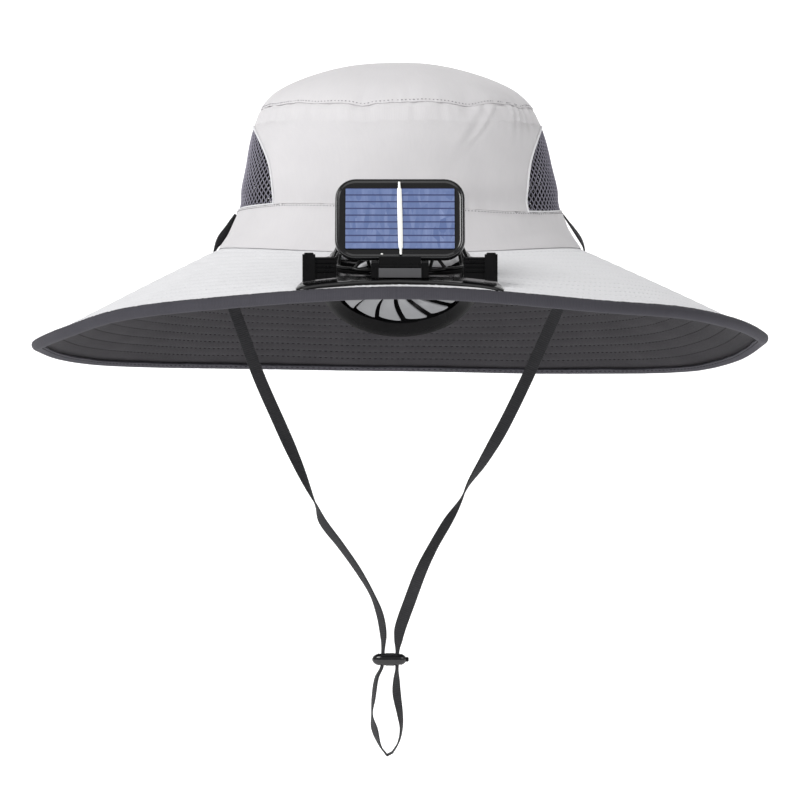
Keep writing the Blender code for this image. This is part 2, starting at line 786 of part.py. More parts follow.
def fan_flange():
    """The collar that lies on the brim's cloth, with a lip that follows the rim in front."""
    lower = []
    upper = []
    for share in (0.0, 0.4, 0.8, 1.0):
        lower.append([])
        upper.append([])
        for turn in turns(FAN_SEGMENTS):
            degrees = abs((math.degrees(turn) + 180) % 360 - 180)
            edge = BRIM_HOLE_RADIUS * read_table(FLANGE_ROWS, degrees)[0]
            x, y = fan_point(turn, mix(BRIM_HOLE_RADIUS + GAP, edge, share))
            seat = brim_level(x, y) + BRIM_HALF + GAP
            thickness = FLANGE_THICKNESS if share < 1 else FLANGE_EDGE
            lower[-1].append(Vector((x, y, seat)))
            upper[-1].append(Vector((x, y, seat + thickness)))
    return shell("fan_flange", upper, lower, True, "black_plastic")


def fan_housing(fan):
    """The sleeve through the brim, with three arms that carry the motor."""
    outer = BRIM_HOLE_RADIUS - GAP
    inner = outer - SLEEVE_WALL
    low = -BRIM_HALF
    high = FAN_DECK
    ring = ((inner, low), (outer, low), (outer, high), (inner, high))
    sections = []
    for turn in turns(FAN_SEGMENTS):
        sections.append([Vector((r * math.sin(turn), -r * math.cos(turn), z)) for r, z in ring])
    sleeve = lofted("fan_housing", sections, "black_plastic", ring=True)
    spider = spider_plate(inner + SLEEVE_WALL / 2, low)
    boolean(sleeve, spider, "UNION")
    for piece in (sleeve, spider):
        piece.parent = fan


def spider_plate(radius, low):
    outline = [flat_polar(turn, radius) for turn in turns(FAN_SEGMENTS)]
    bore = [flat_polar(turn, SPIDER_BORE * SHAFT_RADIUS) for turn in turns(12)]
    holes = [bore]
    window = radius - SLEEVE_WALL * 0.8
    for middle in turns(3):
        hole = []
        for reach, step in ((window, 1), (SPIDER_HUB_RADIUS, -1)):
            half = math.pi / 3 - SPIDER_ARM_HALF / reach
            arc = [middle + step * half * share for share in (-1, -0.6, -0.2, 0.2, 0.6, 1)]
            hole += [flat_polar(turn, reach) for turn in arc]
        holes.append(hole)
    return pierced(
        "spider_tool",
        outline,
        holes,
        lambda x, y: Vector((x, y, low + SPIDER_THICKNESS)),
        lambda x, y: Vector((x, y, low)),
        None,
    )


def guard_point(turn, reach, depth):
    """A point of the domed guard. Reach is 0 in the middle and 1 at its foot."""
    corner = abs(math.sin(turn)) ** GUARD_SQUARENESS + abs(math.cos(turn)) ** GUARD_SQUARENESS
    square = corner ** (-1 / GUARD_SQUARENESS)
    shoulder = GUARD_TOP_HALF / GUARD_HALF
    if reach > shoulder:
        share = (reach - shoulder) / (1 - shoulder)
        half = mix(GUARD_TOP_HALF, GUARD_HALF, share)
        height = GUARD_HEIGHT * 0.8 * (1 - share)
    else:
        share = reach / shoulder
        half = GUARD_TOP_HALF * share
        height = GUARD_HEIGHT * (1 - 0.2 * share**3)
    radius = max(half * square - depth, 0.0) if reach > shoulder else half * square
    drop = depth if reach <= shoulder else depth * 0.6 * (1 - share)
    return Vector((radius * math.sin(turn), -radius * math.cos(turn), height - drop))


def fan_guard(fan):
    """The open cage over the rotor: ribs that fork into two feet below its shoulder."""
    sector = math.tau / GUARD_RIBS
    shoulder = GUARD_TOP_HALF / GUARD_HALF
    # Share of a sector from its rib, reach from the middle to the foot
    fork = ((-0.20, 0.975), (0.20, 0.975), (0.0, 0.885))
    side_window = ((0.34, 0.975), (0.66, 0.975), (0.91, 0.868), (0.5, 0.862), (0.09, 0.868))
    roof_window = ((0.10, shoulder - 0.04), (0.5, shoulder - 0.04), (0.90, shoulder - 0.04), (0.72, 0.36), (0.28, 0.36))
    holes = []
    for rib in range(GUARD_RIBS):
        for window in (fork, side_window, roof_window):
            holes.append([flat_polar((rib + share) * sector, reach) for share, reach in window])
    outline = [flat_polar(turn, 1.0) for turn in turns(GUARD_RIBS * 3)]

    def on_dome(depth):
        def place(x, y):
            return guard_point(math.atan2(x, y), math.hypot(x, y), depth)
        return place

    guard = pierced("fan_guard", outline, holes, on_dome(0), on_dome(GUARD_THICKNESS), "black_plastic")
    guard.location = (0, 0, FAN_DECK + GAP)
    guard.parent = fan


def flat_polar(turn, reach):
    return reach * math.sin(turn), reach * math.cos(turn)


def motor_and_rotor(fan):
    low = -BRIM_HALF - GAP - MOTOR_HEIGHT
    shaft_top = BRIM_HALF + SPIDER_THICKNESS + SHAFT_RISE
    motor = turned(
        "fan_motor",
        ((0, low), (MOTOR_RADIUS - SOFT_EDGE, low), (MOTOR_RADIUS, low + SOFT_EDGE), (MOTOR_RADIUS, -BRIM_HALF - GAP),
         (SHAFT_RADIUS, -BRIM_HALF - GAP), (SHAFT_RADIUS, shaft_top), (0, shaft_top)),
        16,
        "dark_metal",
    )
    motor.parent = fan

    axle = bpy.data.objects.new("rotor_axis", None)
    bpy.context.scene.collection.objects.link(axle)
    axle.location = (0, 0, -BRIM_HALF + SPIDER_THICKNESS + GAP)
    axle.parent = fan
    bore = SHAFT_RADIUS + GAP
    pocket = shaft_top - axle.location.z + GAP
    rotor = turned(
        "fan_rotor",
        ((0, pocket), (bore, pocket), (bore, 0), (ROTOR_HUB_RADIUS, 0), (ROTOR_HUB_RADIUS, ROTOR_HUB_HEIGHT - SOFT_EDGE),
         (ROTOR_HUB_RADIUS - SOFT_EDGE, ROTOR_HUB_HEIGHT), (0, ROTOR_HUB_HEIGHT)),
        24,
        "grey_plastic",
    )
    blades = blade_set("rotor_blade_tool", ROTOR_BLADES, rotor_blade_section)
    boolean(rotor, blades, "UNION")
    for piece in (rotor, blades):
        piece.parent = axle


def blade_set(name, count, section):
    """Loose blades round the axis, each lofted through three sections."""
    made = bmesh.new()
    for turn in turns(count):
        rows = [add_row(made, section(turn, share)) for share in (0.0, 0.5, 1.0)]
        for low, high in zip(rows, rows[1:]):
            bridge(made, low, high, True)
        made.faces.new(rows[0])
        made.faces.new(rows[-1])
    return new_object(name, made, None)


def rotor_blade_section(turn, share):
    """A pitched blade that widens outward and sweeps back."""
    radius = mix(ROTOR_HUB_RADIUS - OVERLAP, ROTOR_RADIUS, share)
    middle = turn + BLADE_SWEEP * share**2
    half_chord = mix(*BLADE_HALF_CHORD, share)
    half_rise = mix(*BLADE_HALF_RISE, share)
    level = ROTOR_HUB_HEIGHT / 2
    corners = []
    for along, up in ((-1, -1), (-1, 1), (1, 1), (1, -1)):
        angle = middle + along * half_chord / radius
        height = level + along * half_rise + up * BLADE_HALF_THICKNESS
        corners.append(Vector((radius * math.sin(angle), -radius * math.cos(angle), height)))
    return corners


def lip_backness(turn):
    """0 in the front half of the outlet, rising smoothly to 1 at its back."""
    return max(0.0, -math.cos(turn)) ** 1.2


def lip_point(turn, inner):
    backness = lip_backness(turn)
    if inner:
        half_width, half_length = LIP_INNER_HALF_WIDTH, LIP_INNER_HALF_LENGTH
        z = FAN_LEVEL - LIP_INNER_DROP - LIP_INNER_DIP * backness
    else:
        half_width, half_length = LIP_HALF_WIDTH, LIP_HALF_LENGTH
        z = FAN_LEVEL - LIP_DROP - LIP_DIP * backness
    return Vector((half_width * math.sin(turn), FAN_CENTRE_Y - half_length * math.cos(turn), z))


def fan_duct():
    """The scoop under the brim: its top follows the cloth and its lip hangs lower at the back."""
    outer = []
    inner = []
    for share in (0.0, 0.5, 0.85, 1.0):
        outer.append([])
        inner.append([])
        for turn in turns(FAN_SEGMENTS):
            for grid, radius, end in (
                (outer, DUCT_RADIUS, lip_point(turn, False)),
                (inner, DUCT_RADIUS - DUCT_WALL, lip_point(turn, True)),
            ):
                x, y = fan_point(turn, radius)
                start = Vector((x, y, brim_level(x, y) - BRIM_HALF - GAP))
                level = mix(start.z, end.z, share)
                side = share**3
                grid[-1].append(Vector((mix(start.x, end.x, side), mix(start.y, end.y, side), level)))
    return shell("fan_duct", outer, inner, True, "black_plastic")


def outlet_fins():
    """A fixed wheel of swirled fins that fills the mouth of the scoop."""
    hub_top = FIN_LEVEL + FIN_THICKNESS
    hub_bottom = FIN_LEVEL - FIN_THICKNESS
    hub = turned(
        "outlet_fins",
        ((0, hub_bottom - FIN_HUB_DROP), (FIN_HUB_RADIUS * 0.7, hub_bottom - FIN_HUB_DROP), (FIN_HUB_RADIUS, hub_bottom),
         (FIN_HUB_RADIUS, hub_top), (0, hub_top)),
        28,
        "grey_plastic",
    )
    fins = blade_set("fin_tool", FIN_COUNT, fin_section)
    boolean(hub, fins, "UNION")
    for piece in (hub, fins):
        piece.location = (0, FAN_CENTRE_Y, 0)


def fin_section(turn, share):
    """A broad fin that runs from the hub to just inside the lip and swirls on its way."""
    middle = turn - FIN_SWIRL * share
    corners = []
    pitch = math.tau / FIN_COUNT
    half_turn = pitch * mix(*FIN_HALF_SHARE, share)
    for along, up in ((-1, -1), (-1, 1), (1, 1), (1, -1)):
        angle = middle + along * half_turn
        rim = lip_point(angle, True) - Vector((0, FAN_CENTRE_Y, 0))
        rim.z += FIN_RIM_LIFT
        shrink = 1 - 4 * GAP / LIP_INNER_HALF_WIDTH
        start = Vector((math.sin(angle), -math.cos(angle), 0)) * (FIN_HUB_RADIUS - OVERLAP)
        start.z = FIN_LEVEL
        end = Vector((rim.x * shrink, rim.y * shrink, rim.z))
        point = start.lerp(end, share)
        point.z += up * FIN_THICKNESS / 2 + along * FIN_PITCH
        corners.append(point)
    return corners


def side_bracket(name, side):
    """A small post beside the guard with a low wall that runs in from it."""
    pieces = []
    wall_front = SIDE_POST_FRONT_Y + SIDE_WALL_SETBACK
    wall_top = SIDE_POST_TOP_LEVEL - SIDE_WALL_STEP
    walls = (
        (SIDE_POST[0], SIDE_POST[1], SIDE_POST_FRONT_Y, SIDE_POST_FRONT_Y + SIDE_POST_DEPTH, SIDE_POST_TOP_LEVEL),
        (SIDE_WALL_INNER, SIDE_POST[0] + OVERLAP, wall_front, wall_front + SIDE_WALL_DEPTH, wall_top),
    )
    for x0, x1, y0, y1, top in walls:
        rows = []
        for level in (None, top):
            row = []
            for x, y in ((x0, y0), (x1, y0), (x1, y1), (x0, y1)):
                z = brim_level(x, y) + FAN_DECK + FOOT_CLEARANCE if level is None else level
                row.append(Vector((side * x, y, z)))
            rows.append(row)
        pieces.append(rows)
    post = lofted(name, pieces[0], "black_plastic")
    wall = lofted(name + "_wall_tool", pieces[1], None)
    boolean(post, wall, "UNION")


def panel_bracket():
    """Two rounded ears and a floor on the flange, with the pin across them."""
    foot = brim_level(0, HINGE_Y - EAR_RADIUS) + FAN_DECK + GAP
    back_foot = brim_level(0, HINGE_Y + EAR_RADIUS) + FAN_DECK + GAP
    profile = [(HINGE_Y - EAR_RADIUS, foot), (HINGE_Y + EAR_RADIUS, back_foot)]
    for step in range(7):
        angle = math.pi * step / 6
        profile.append((HINGE_Y + EAR_RADIUS * math.cos(angle), HINGE_LEVEL + EAR_RADIUS * math.sin(angle)))
    half = BRACKET_WIDTH / 2
    bracket = lofted("panel_bracket", [[Vector((x, y, z)) for y, z in profile] for x in (-half, half)], "black_plastic")
    gap_half = half - EAR_WIDTH
    cutter = box(
        "ear_gap_cutter",
        (-gap_half, HINGE_Y - 2 * EAR_RADIUS, back_foot + BRACKET_FLOOR),
        (gap_half, HINGE_Y + 2 * EAR_RADIUS, HINGE_LEVEL + 2 * EAR_RADIUS),
        None,
    )
    boolean(bracket, cutter, "DIFFERENCE")
    pin = turned("hinge_pin_tool", pin_profile(PIN_RADIUS, 2 * gap_half + 2 * OVERLAP), 12, None)
    pin.matrix_world = (
        Matrix.Translation((-gap_half - OVERLAP, HINGE_Y, HINGE_LEVEL)) @ Matrix.Rotation(math.pi / 2, 4, "Y")
    )
    boolean(bracket, pin, "UNION")


def bracket_cover():
    front = HINGE_Y - EAR_RADIUS - GAP
    half = COVER_WIDTH / 2
    rows = []
    for level in (None, HINGE_LEVEL - COVER_DROP):
        row = []
        for x, y in ((-half, front - COVER_THICKNESS), (half, front - COVER_THICKNESS), (half, front), (-half, front)):
            z = brim_level(x, y) + FAN_DECK + FOOT_CLEARANCE if level is None else level
            row.append(Vector((x, y, z)))
        rows.append(row)
    return lofted("bracket_cover", rows, "grey_plastic")


def rounded_outline(width, height, corner, z, middle=0.0):
    """Points of a rectangle with round corners, in the plane at depth z."""
    points = []
    for quarter in range(4):
        side_x = (1, -1, -1, 1)[quarter]
        side_y = (1, 1, -1, -1)[quarter]
        for step in range(5):
            angle = math.pi / 2 * (quarter + step / 4)
            x = side_x * (width / 2 - corner) + corner * math.cos(angle)
            y = side_y * (height / 2 - corner) + corner * math.sin(angle)
            points.append(Vector((x, middle + y, z)))
    return points


def solar_panel(hinge):
    """The framed panel, its cell and its busbar, drawn in the hinge's frame: X along the pin, Y up the panel."""
    middle = EAR_RADIUS + 2 * GAP + PANEL_HEIGHT / 2
    front = PANEL_FORWARD
    back = front - PANEL_THICKNESS
    inset = PANEL_ROUNDING
    window_width = CELL_WIDTH + 2 * GAP
    window_height = CELL_HEIGHT + 2 * GAP
    floor = front - CELL_RECESS
    sections = [
        rounded_outline(PANEL_WIDTH - 4 * inset, PANEL_HEIGHT - 4 * inset, PANEL_CORNER - 2 * inset, back, middle),
        rounded_outline(PANEL_WIDTH, PANEL_HEIGHT, PANEL_CORNER, back + 2 * inset, middle),
        rounded_outline(PANEL_WIDTH, PANEL_HEIGHT, PANEL_CORNER, front - inset, middle),
        rounded_outline(PANEL_WIDTH - 2 * inset, PANEL_HEIGHT - 2 * inset, PANEL_CORNER - inset, front, middle),
        rounded_outline(window_width, window_height, inset, front, middle),
        rounded_outline(window_width, window_height, inset, floor, middle),
    ]
    frame = lofted("panel_frame", sections, "black_plastic")
    lug_half = BRACKET_WIDTH / 2 - EAR_WIDTH - GAP
    lug = lug_solid(lug_half, middle - PANEL_HEIGHT / 2)
    boolean(frame, lug, "UNION")
    bore = turned("lug_bore_cutter", pin_profile(PIN_RADIUS + GAP, 3 * lug_half), 12, None)
    bore.matrix_local = Matrix.Translation((-1.5 * lug_half, 0, 0)) @ Matrix.Rotation(math.pi / 2, 4, "Y")
    boolean(frame, bore, "DIFFERENCE")

    cell_rows = [
        rounded_outline(CELL_WIDTH, CELL_HEIGHT, inset / 2, floor + GAP + rise, middle)
        for rise in (0.0, CELL_THICKNESS)
    ]
    cell = lofted("solar_cell", cell_rows, "solar_cell")
    low = floor + 2 * GAP + CELL_THICKNESS
    bar = box(
        "busbar",
        (-BUSBAR_WIDTH / 2, middle - BUSBAR_HEIGHT / 2, low),
        (BUSBAR_WIDTH / 2, middle + BUSBAR_HEIGHT / 2, low + BUSBAR_THICKNESS),
        "solder",
    )
    for piece in (frame, lug, bore, cell, bar):
        piece.parent = hinge


def lug_solid(half, reach):
    """The knuckle under the frame: a round eye with a web up into the frame."""
    profile = [(LUG_RADIUS, reach + OVERLAP), (-LUG_RADIUS, reach + OVERLAP)]
    for step in range(9):
        angle = math.pi + math.pi * step / 8
        profile.append((LUG_RADIUS * math.cos(angle), LUG_RADIUS * math.sin(angle)))
    sections = [[Vector((x, y, -z)) for z, y in profile] for x in (-half, half)]
    return lofted("lug_tool", sections, None)


def build():
    for leftover in list(bpy.data.objects):
        bpy.data.objects.remove(leftover)

    crown_tip()
    crown_cloth("crown_front", 0.0)
    crown_cloth("crown_back", math.pi)
    net_panel("mesh_panel_right", math.pi / 2)
    net_panel("mesh_panel_left", -math.pi / 2)
    hat_band()

    fan = bpy.data.objects.new("fan_place", None)
    bpy.context.scene.collection.objects.link(fan)
    fan.location = (0, FAN_CENTRE_Y, FAN_LEVEL)
    fan.rotation_euler = (FAN_TILT, 0, 0)
    hole = turned("brim_hole_cutter", pin_profile(BRIM_HOLE_RADIUS, 2 * BRIM_HOLE_CUTTER_HALF), FAN_SEGMENTS, None)
    hole.location = (0, 0, -BRIM_HOLE_CUTTER_HALF)
    hole.parent = fan

    layers = (brim_layer("brim_top", True, "brim_cloth"), brim_layer("brim_underside", False, "dark_cloth"))
    slots = (strap_slot(1), strap_slot(-1))
    for layer in layers:
        for cutter in (hole,) + slots:
            boolean(layer, cutter, "DIFFERENCE")
    brim_binding()
    chin_strap()
    cord_lock()

    fan_flange()
    fan_housing(fan)
    fan_guard(fan)
    motor_and_rotor(fan)
    fan_duct()
    outlet_fins()
    side_bracket("side_bracket_right", 1)
    side_bracket("side_bracket_left", -1)
    panel_bracket()
    bracket_cover()
    hinge = bpy.data.objects.new("panel_hinge", None)
    bpy.context.scene.collection.objects.link(hinge)
    hinge.location = (0, HINGE_Y, HINGE_LEVEL)
    hinge.rotation_euler = (math.pi / 2 - PANEL_LEAN, 0, 0)
    solar_panel(hinge)


build()
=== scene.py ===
# %% [markdown]
# # A sun hat with a solar fan
#
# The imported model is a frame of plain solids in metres, with +Z up and the front of the hat towards -Y.
# Each cell takes one piece of the real hat and dresses it: fine meshes from formulas, and materials
# from nodes.

import json
import math

import bmesh
import bpy
import numpy as np
from mathutils import Matrix, Vector, noise


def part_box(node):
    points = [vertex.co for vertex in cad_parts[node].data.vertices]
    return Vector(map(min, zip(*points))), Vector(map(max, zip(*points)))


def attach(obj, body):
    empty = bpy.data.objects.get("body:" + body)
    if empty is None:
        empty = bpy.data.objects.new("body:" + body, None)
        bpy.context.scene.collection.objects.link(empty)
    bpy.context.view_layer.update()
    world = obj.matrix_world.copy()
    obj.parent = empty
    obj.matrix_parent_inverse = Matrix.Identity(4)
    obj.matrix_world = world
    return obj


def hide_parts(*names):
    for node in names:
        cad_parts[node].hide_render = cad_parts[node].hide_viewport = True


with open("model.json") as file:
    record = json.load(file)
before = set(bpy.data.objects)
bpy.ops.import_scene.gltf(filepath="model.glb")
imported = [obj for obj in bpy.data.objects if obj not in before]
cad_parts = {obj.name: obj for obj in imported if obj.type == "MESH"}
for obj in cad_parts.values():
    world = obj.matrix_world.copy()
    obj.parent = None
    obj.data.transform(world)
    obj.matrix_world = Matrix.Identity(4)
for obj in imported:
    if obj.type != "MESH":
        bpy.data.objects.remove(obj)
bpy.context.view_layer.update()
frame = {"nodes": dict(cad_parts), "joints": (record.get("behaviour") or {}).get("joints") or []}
joints = {joint["name"]: joint for joint in frame["joints"]}

# %% [markdown]
# ## One way to make every mesh
#
# Cloth walls, tapes, ribs and rings are all rows of points joined by quads. They could be drawn by hand or
# made with modifiers, but a small class that takes rows and joins them keeps every piece alike. It also
# stores where each point lies in its cloth, in metres, so that a weave keeps its scale on any shape.

# %% The mesh maker


def run_lengths(points):
    """How far along a row of points each one lies, in metres."""
    legs = np.linalg.norm(np.diff(points, axis=0), axis=1)
    return np.concatenate([[0.0], np.cumsum(legs)])


class Workpiece:
    """Collects rows of points, then becomes one mesh object."""

    def __init__(self):
        self.points = []
        self.faces = []
        self.places = []
        self.count = 0

    def rows(self, grid, ring=False, loop=False, ends=None, laid_flat=False):
        """Joins rows of points. Ring closes each row, loop joins the last row to the first."""
        grid = np.asarray(grid, dtype=float)
        count, across = grid.shape[:2]
        slots = np.arange(count * across).reshape(count, across) + self.count
        if laid_flat:
            place = grid[:, :, :2]
        else:
            along = run_lengths(grid[:, 0])
            around = run_lengths(grid[0])
            place = np.stack(np.meshgrid(along, around, indexing="ij"), axis=-1)
        if ring:
            slots = np.concatenate([slots, slots[:, :1]], axis=1)
            place = np.concatenate([place, place[:, -1:] + (0 if laid_flat else [0, 0.001])], axis=1)
        if loop:
            slots = np.concatenate([slots, slots[:1]], axis=0)
            place = np.concatenate([place, place[-1:] + (0 if laid_flat else [0.001, 0])], axis=0)
        for table, store in ((slots, self.faces), (place, self.places)):
            corners = (table[:-1, :-1], table[1:, :-1], table[1:, 1:], table[:-1, 1:])
            quads = np.stack(corners, axis=2)
            store += quads.reshape((-1,) + quads.shape[2:]).tolist()
        self.points += grid.reshape(-1, 3).tolist()
        self.count += count * across
        if ends:
            first = slots[0, :across].tolist()
            last = slots[-1, :across].tolist()
            for end in (first, last[::-1]):
                self.close_end(end, ends)

    def close_end(self, end, way):
        """Closes an end with one face, or a thin wall's end with a strip of quads."""
        if way == "face":
            self.faces.append(end)
            self.places.append([[0.0, 0.0]] * len(end))
            return
        for step in range(len(end) // 2 - 1):
            quad = [end[step], end[step + 1], end[-2 - step], end[-1 - step]]
            self.faces.append(quad)
            self.places.append([[0.0, 0.0]] * 4)

    def finish(self, name, finish, replaced=(), body="hat", slot=None, sharp=40):
        """Makes the object, gives it its finish and puts it in its CAD nodes' place."""
        mesh = bpy.data.meshes.new(name)
        mesh.from_pydata(self.points, [], self.faces)
        place = mesh.attributes.new("cloth_place", "FLOAT_VECTOR", "CORNER")
        corners = np.array([corner for face in self.places for corner in face], dtype=np.float32)
        values = np.concatenate([corners, np.zeros((len(corners), 1), np.float32)], axis=1)
        place.data.foreach_set("vector", values.ravel())
        work = bmesh.new()
        work.from_mesh(mesh)
        bmesh.ops.remove_doubles(work, verts=work.verts, dist=1e-7)
        loose = [edge for edge in work.edges if not edge.link_faces]
        bmesh.ops.delete(work, geom=loose, context="EDGES")
        bmesh.ops.recalc_face_normals(work, faces=work.faces)
        work.to_mesh(mesh)
        work.free()
        mesh.shade_smooth()
        mesh.set_sharp_from_angle(angle=math.radians(sharp))
        mesh.materials.append(finish)
        piece = bpy.data.objects.new(name, mesh)
        bpy.context.scene.collection.objects.link(piece)
        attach(piece, body)
        if replaced:
            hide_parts(*replaced)
        print(name, len(mesh.polygons), "faces")
        return piece


# %% Small helpers for shapes


def turns(count):
    return [math.tau * step / count for step in range(count)]


def shares(count, low=0.0, high=1.0):
    return [low + (high - low) * step / (count - 1) for step in range(count)]


def mix(low, high, share):
    return low + (high - low) * share


def bump(distance, reach):
    """1 at no distance, falling smoothly to 0 a little past the reach."""
    return math.exp(-((distance / reach) ** 2))


def unevenness(x, y, z, size):
    """Smooth noise from -1 to 1 whose swells are about one size across."""
    return noise.noise(Vector((x, y, z)) / size)


def read_table(rows, at, loop=False):
    """The other columns of a table at a value of its first column, on a smooth curve through the rows."""
    at = min(max(at, rows[0][0]), rows[-1][0])
    place = 0
    while place < len(rows) - 2 and at > rows[place + 1][0]:
        place += 1
    low = rows[place]
    high = rows[place + 1]
    before = rows[place - 1] if place else low
    after = rows[place + 2] if place < len(rows) - 2 else high
    whole = rows[-1][0] - rows[0][0]
    if loop and place == 0:
        before = (rows[-2][0] - whole,) + tuple(rows[-2][1:])
    if loop and place == len(rows) - 2:
        after = (rows[1][0] + whole,) + tuple(rows[1][1:])
    span = high[0] - low[0]
    t = (at - low[0]) / span
    values = []
    for column in range(1, len(low)):
        slope_low = (high[column] - before[column]) / (high[0] - before[0]) * span
        slope_high = (after[column] - low[column]) / (after[0] - low[0]) * span
        rise = (2 * t**3 - 3 * t**2 + 1) * low[column] + (3 * t**2 - 2 * t**3) * high[column]
        bend = (t**3 - 2 * t**2 + t) * slope_low + (t**3 - t**2) * slope_high
        values.append(rise + bend)
    return values


# %% [markdown]
# ## Finishes
#
# Real cloth shows its threads, its sheen and slightly uneven dye. An image could hold that, but nodes stay
# sharp at any distance. Two crossed sets of waves make warp and weft, laid by the place in the cloth that
# each mesh carries. Plastics need little: a dark base, a coat and faint unevenness in the gloss.

# %% Node helpers


def linear(red, green, blue):
    """A screen colour, 0 to 255, as the linear colour that shaders use."""
    parts = []
    for part in (red, green, blue):
        part = part / 255
        parts.append(part / 12.92 if part <= 0.04045 else ((part + 0.055) / 1.055) ** 2.4)
    return (*parts, 1.0)


class Finish:
    """A material on a Principled shader, with short ways to add and join nodes."""

    def __init__(self, name, colour, roughness, **settings):
        self.material = bpy.data.materials.new(name)
        self.material.use_nodes = True
        self.tree = self.material.node_tree
        self.shader = self.tree.nodes["Principled BSDF"]
        self.shader.inputs["Base Color"].default_value = colour
        self.shader.inputs["Roughness"].default_value = roughness
        for socket, value in settings.items():
            self.shader.inputs[socket.replace("_", " ").title().replace("Ior", "IOR")].default_value = value
        self.height = None

    def node(self, kind, **inputs):
        made = self.tree.nodes.new(kind)
        for socket, value in inputs.items():
            self.feed(made.inputs[socket.replace("_", " ").title()], value)
        return made

    def feed(self, socket, value):
        if isinstance(value, bpy.types.NodeSocket):
            self.tree.links.new(value, socket)
        else:
            socket.default_value = value

    def maths(self, operation, first, second=0.0):
        made = self.tree.nodes.new("ShaderNodeMath")
        made.operation = operation
        self.feed(made.inputs[0], first)
        self.feed(made.inputs[1], second)
        return made.outputs[0]

    def cloth_place(self):
        made = self.tree.nodes.new("ShaderNodeAttribute")
        made.attribute_name = "cloth_place"
        return made.outputs["Vector"]

    def object_place(self):
        return self.tree.nodes.new("ShaderNodeTexCoord").outputs["Object"]

    def scaled(self, place, scale):
        made = self.tree.nodes.new("ShaderNodeMapping")
        made.inputs["Scale"].default_value = scale
        self.feed(made.inputs["Vector"], place)
        return made.outputs["Vector"]

    def clouds(self, place, scale, detail=2.0, roughness=0.5):
        made = self.node(
            "ShaderNodeTexNoise", vector=place, scale=scale, detail=detail, roughness=roughness
        )
        return made.outputs[0]

    def threads(self, place, direction, pitch):
        made = self.tree.nodes.new("ShaderNodeTexWave")
        made.bands_direction = direction
        made.inputs["Scale"].default_value = math.tau / 20 / pitch
        made.inputs["Distortion"].default_value = 0.6
        made.inputs["Detail Scale"].default_value = 1.5
        self.feed(made.inputs["Vector"], place)
        return made.outputs["Fac"]

    def blend(self, factor, first, second):
        made = self.tree.nodes.new("ShaderNodeMix")
        made.data_type = "RGBA"
        self.feed(made.inputs["Factor"], factor)
        self.feed(made.inputs[6], first)
        self.feed(made.inputs[7], second)
        return made.outputs[2]

    def colour(self, value):
        self.feed(self.shader.inputs["Base Color"], value)

    def relief(self, height, distance, strength=1.0):
        made = self.tree.nodes.new("ShaderNodeBump")
        made.inputs["Distance"].default_value = distance
        made.inputs["Strength"].default_value = strength
        self.feed(made.inputs["Height"], height)
        self.feed(self.shader.inputs["Normal"], made.outputs["Normal"])


# %% [markdown]
# ## The cloths
#
# The crown and brim are a light microfibre, the underside a dark one of the same weave. The tape of the
# strap and binding has a coarser rib across it. One recipe makes them all, with other colours and pitches.

# %% Cloth finishes
WEAVE_PITCH = 0.00055
TAPE_PITCH = 0.0011


def cloth_finish(name, light, shade, pitch, depth, fuzz=0.35, ribbed=False):
    """A woven finish between two colours: deeper places between threads take the shade."""
    made = Finish(name, light, 0.9, sheen_weight=fuzz, sheen_roughness=0.5, specular_ior_level=0.12)
    place = made.cloth_place()
    warp = made.threads(place, "X", pitch)
    weft = made.threads(place, "Y", pitch * (0.5 if ribbed else 1.0))
    weave = made.maths("MULTIPLY", warp, weft)
    if ribbed:
        weave = made.maths("ADD", made.maths("MULTIPLY", warp, 0.75), made.maths("MULTIPLY", weft, 0.25))
    cloudy = made.clouds(made.object_place(), 38.0, 3.0)
    slubs = made.clouds(made.scaled(place, (900.0, 90.0, 1.0)), 1.0, 1.0)
    tone = made.maths("MULTIPLY", cloudy, 0.5)
    tone = made.maths("ADD", tone, made.maths("MULTIPLY", slubs, 0.2))
    tone = made.maths("ADD", tone, made.maths("MULTIPLY", weave, 0.3))
    made.colour(made.blend(tone, shade, light))
    height = made.maths("ADD", weave, made.maths("MULTIPLY", slubs, 0.5))
    made.relief(height, depth, 0.6)
    return made.material


light_cloth = cloth_finish(
    "light_cloth", linear(219, 217, 218), linear(200, 198, 200), WEAVE_PITCH, 0.00006, 0.1
)
brim_cloth = cloth_finish(
    "brim_cloth", linear(227, 227, 229), linear(213, 213, 215), WEAVE_PITCH, 0.00006, 0.1
)
dark_cloth = cloth_finish("dark_cloth", linear(62, 60, 63), linear(38, 37, 40), WEAVE_PITCH, 0.00008, 0.02)
binding_cloth = cloth_finish(
    "binding_cloth", linear(74, 73, 79), linear(54, 53, 58), 0.0008, 0.00005, 0.02, True
)
strap_cloth = cloth_finish(
    "strap_cloth", linear(68, 68, 70), linear(30, 30, 32), TAPE_PITCH, 0.00018, 0.05, True
)
net_cloth = cloth_finish("net_cloth", linear(168, 165, 178), linear(112, 110, 122), 0.0004, 0.00006, 0.1)
# Painted shade: the net's back layer is near black to stand in for the shaded inside of the hat seen through
# the holes.
net_painted_shade_back = cloth_finish("net_painted_shade_back", linear(17, 16, 19), linear(8, 8, 9), 0.0004, 0.00006, 0.0)
THREAD_TWIST = 0.0003
THREAD_DEPTH = 0.00004
light_thread = cloth_finish(
    "light_thread", linear(160, 158, 162), linear(128, 126, 130), THREAD_TWIST, THREAD_DEPTH, 0.0
)
brim_thread = cloth_finish(
    "brim_thread", linear(226, 226, 228), linear(208, 208, 211), THREAD_TWIST, THREAD_DEPTH, 0.0
)
dark_thread = cloth_finish(
    "dark_thread", linear(30, 30, 32), linear(18, 18, 20), THREAD_TWIST, THREAD_DEPTH, 0.0
)
print("cloth finishes made")

# %% [markdown]
# ## The plastics and metals
#
# The fan is injection moulded: black parts with a soft gloss, and pale grey fins. The roughness wanders a
# little over the surface, as it does where hands have been, and a very fine grain breaks the reflections.

# %% Plastic finishes


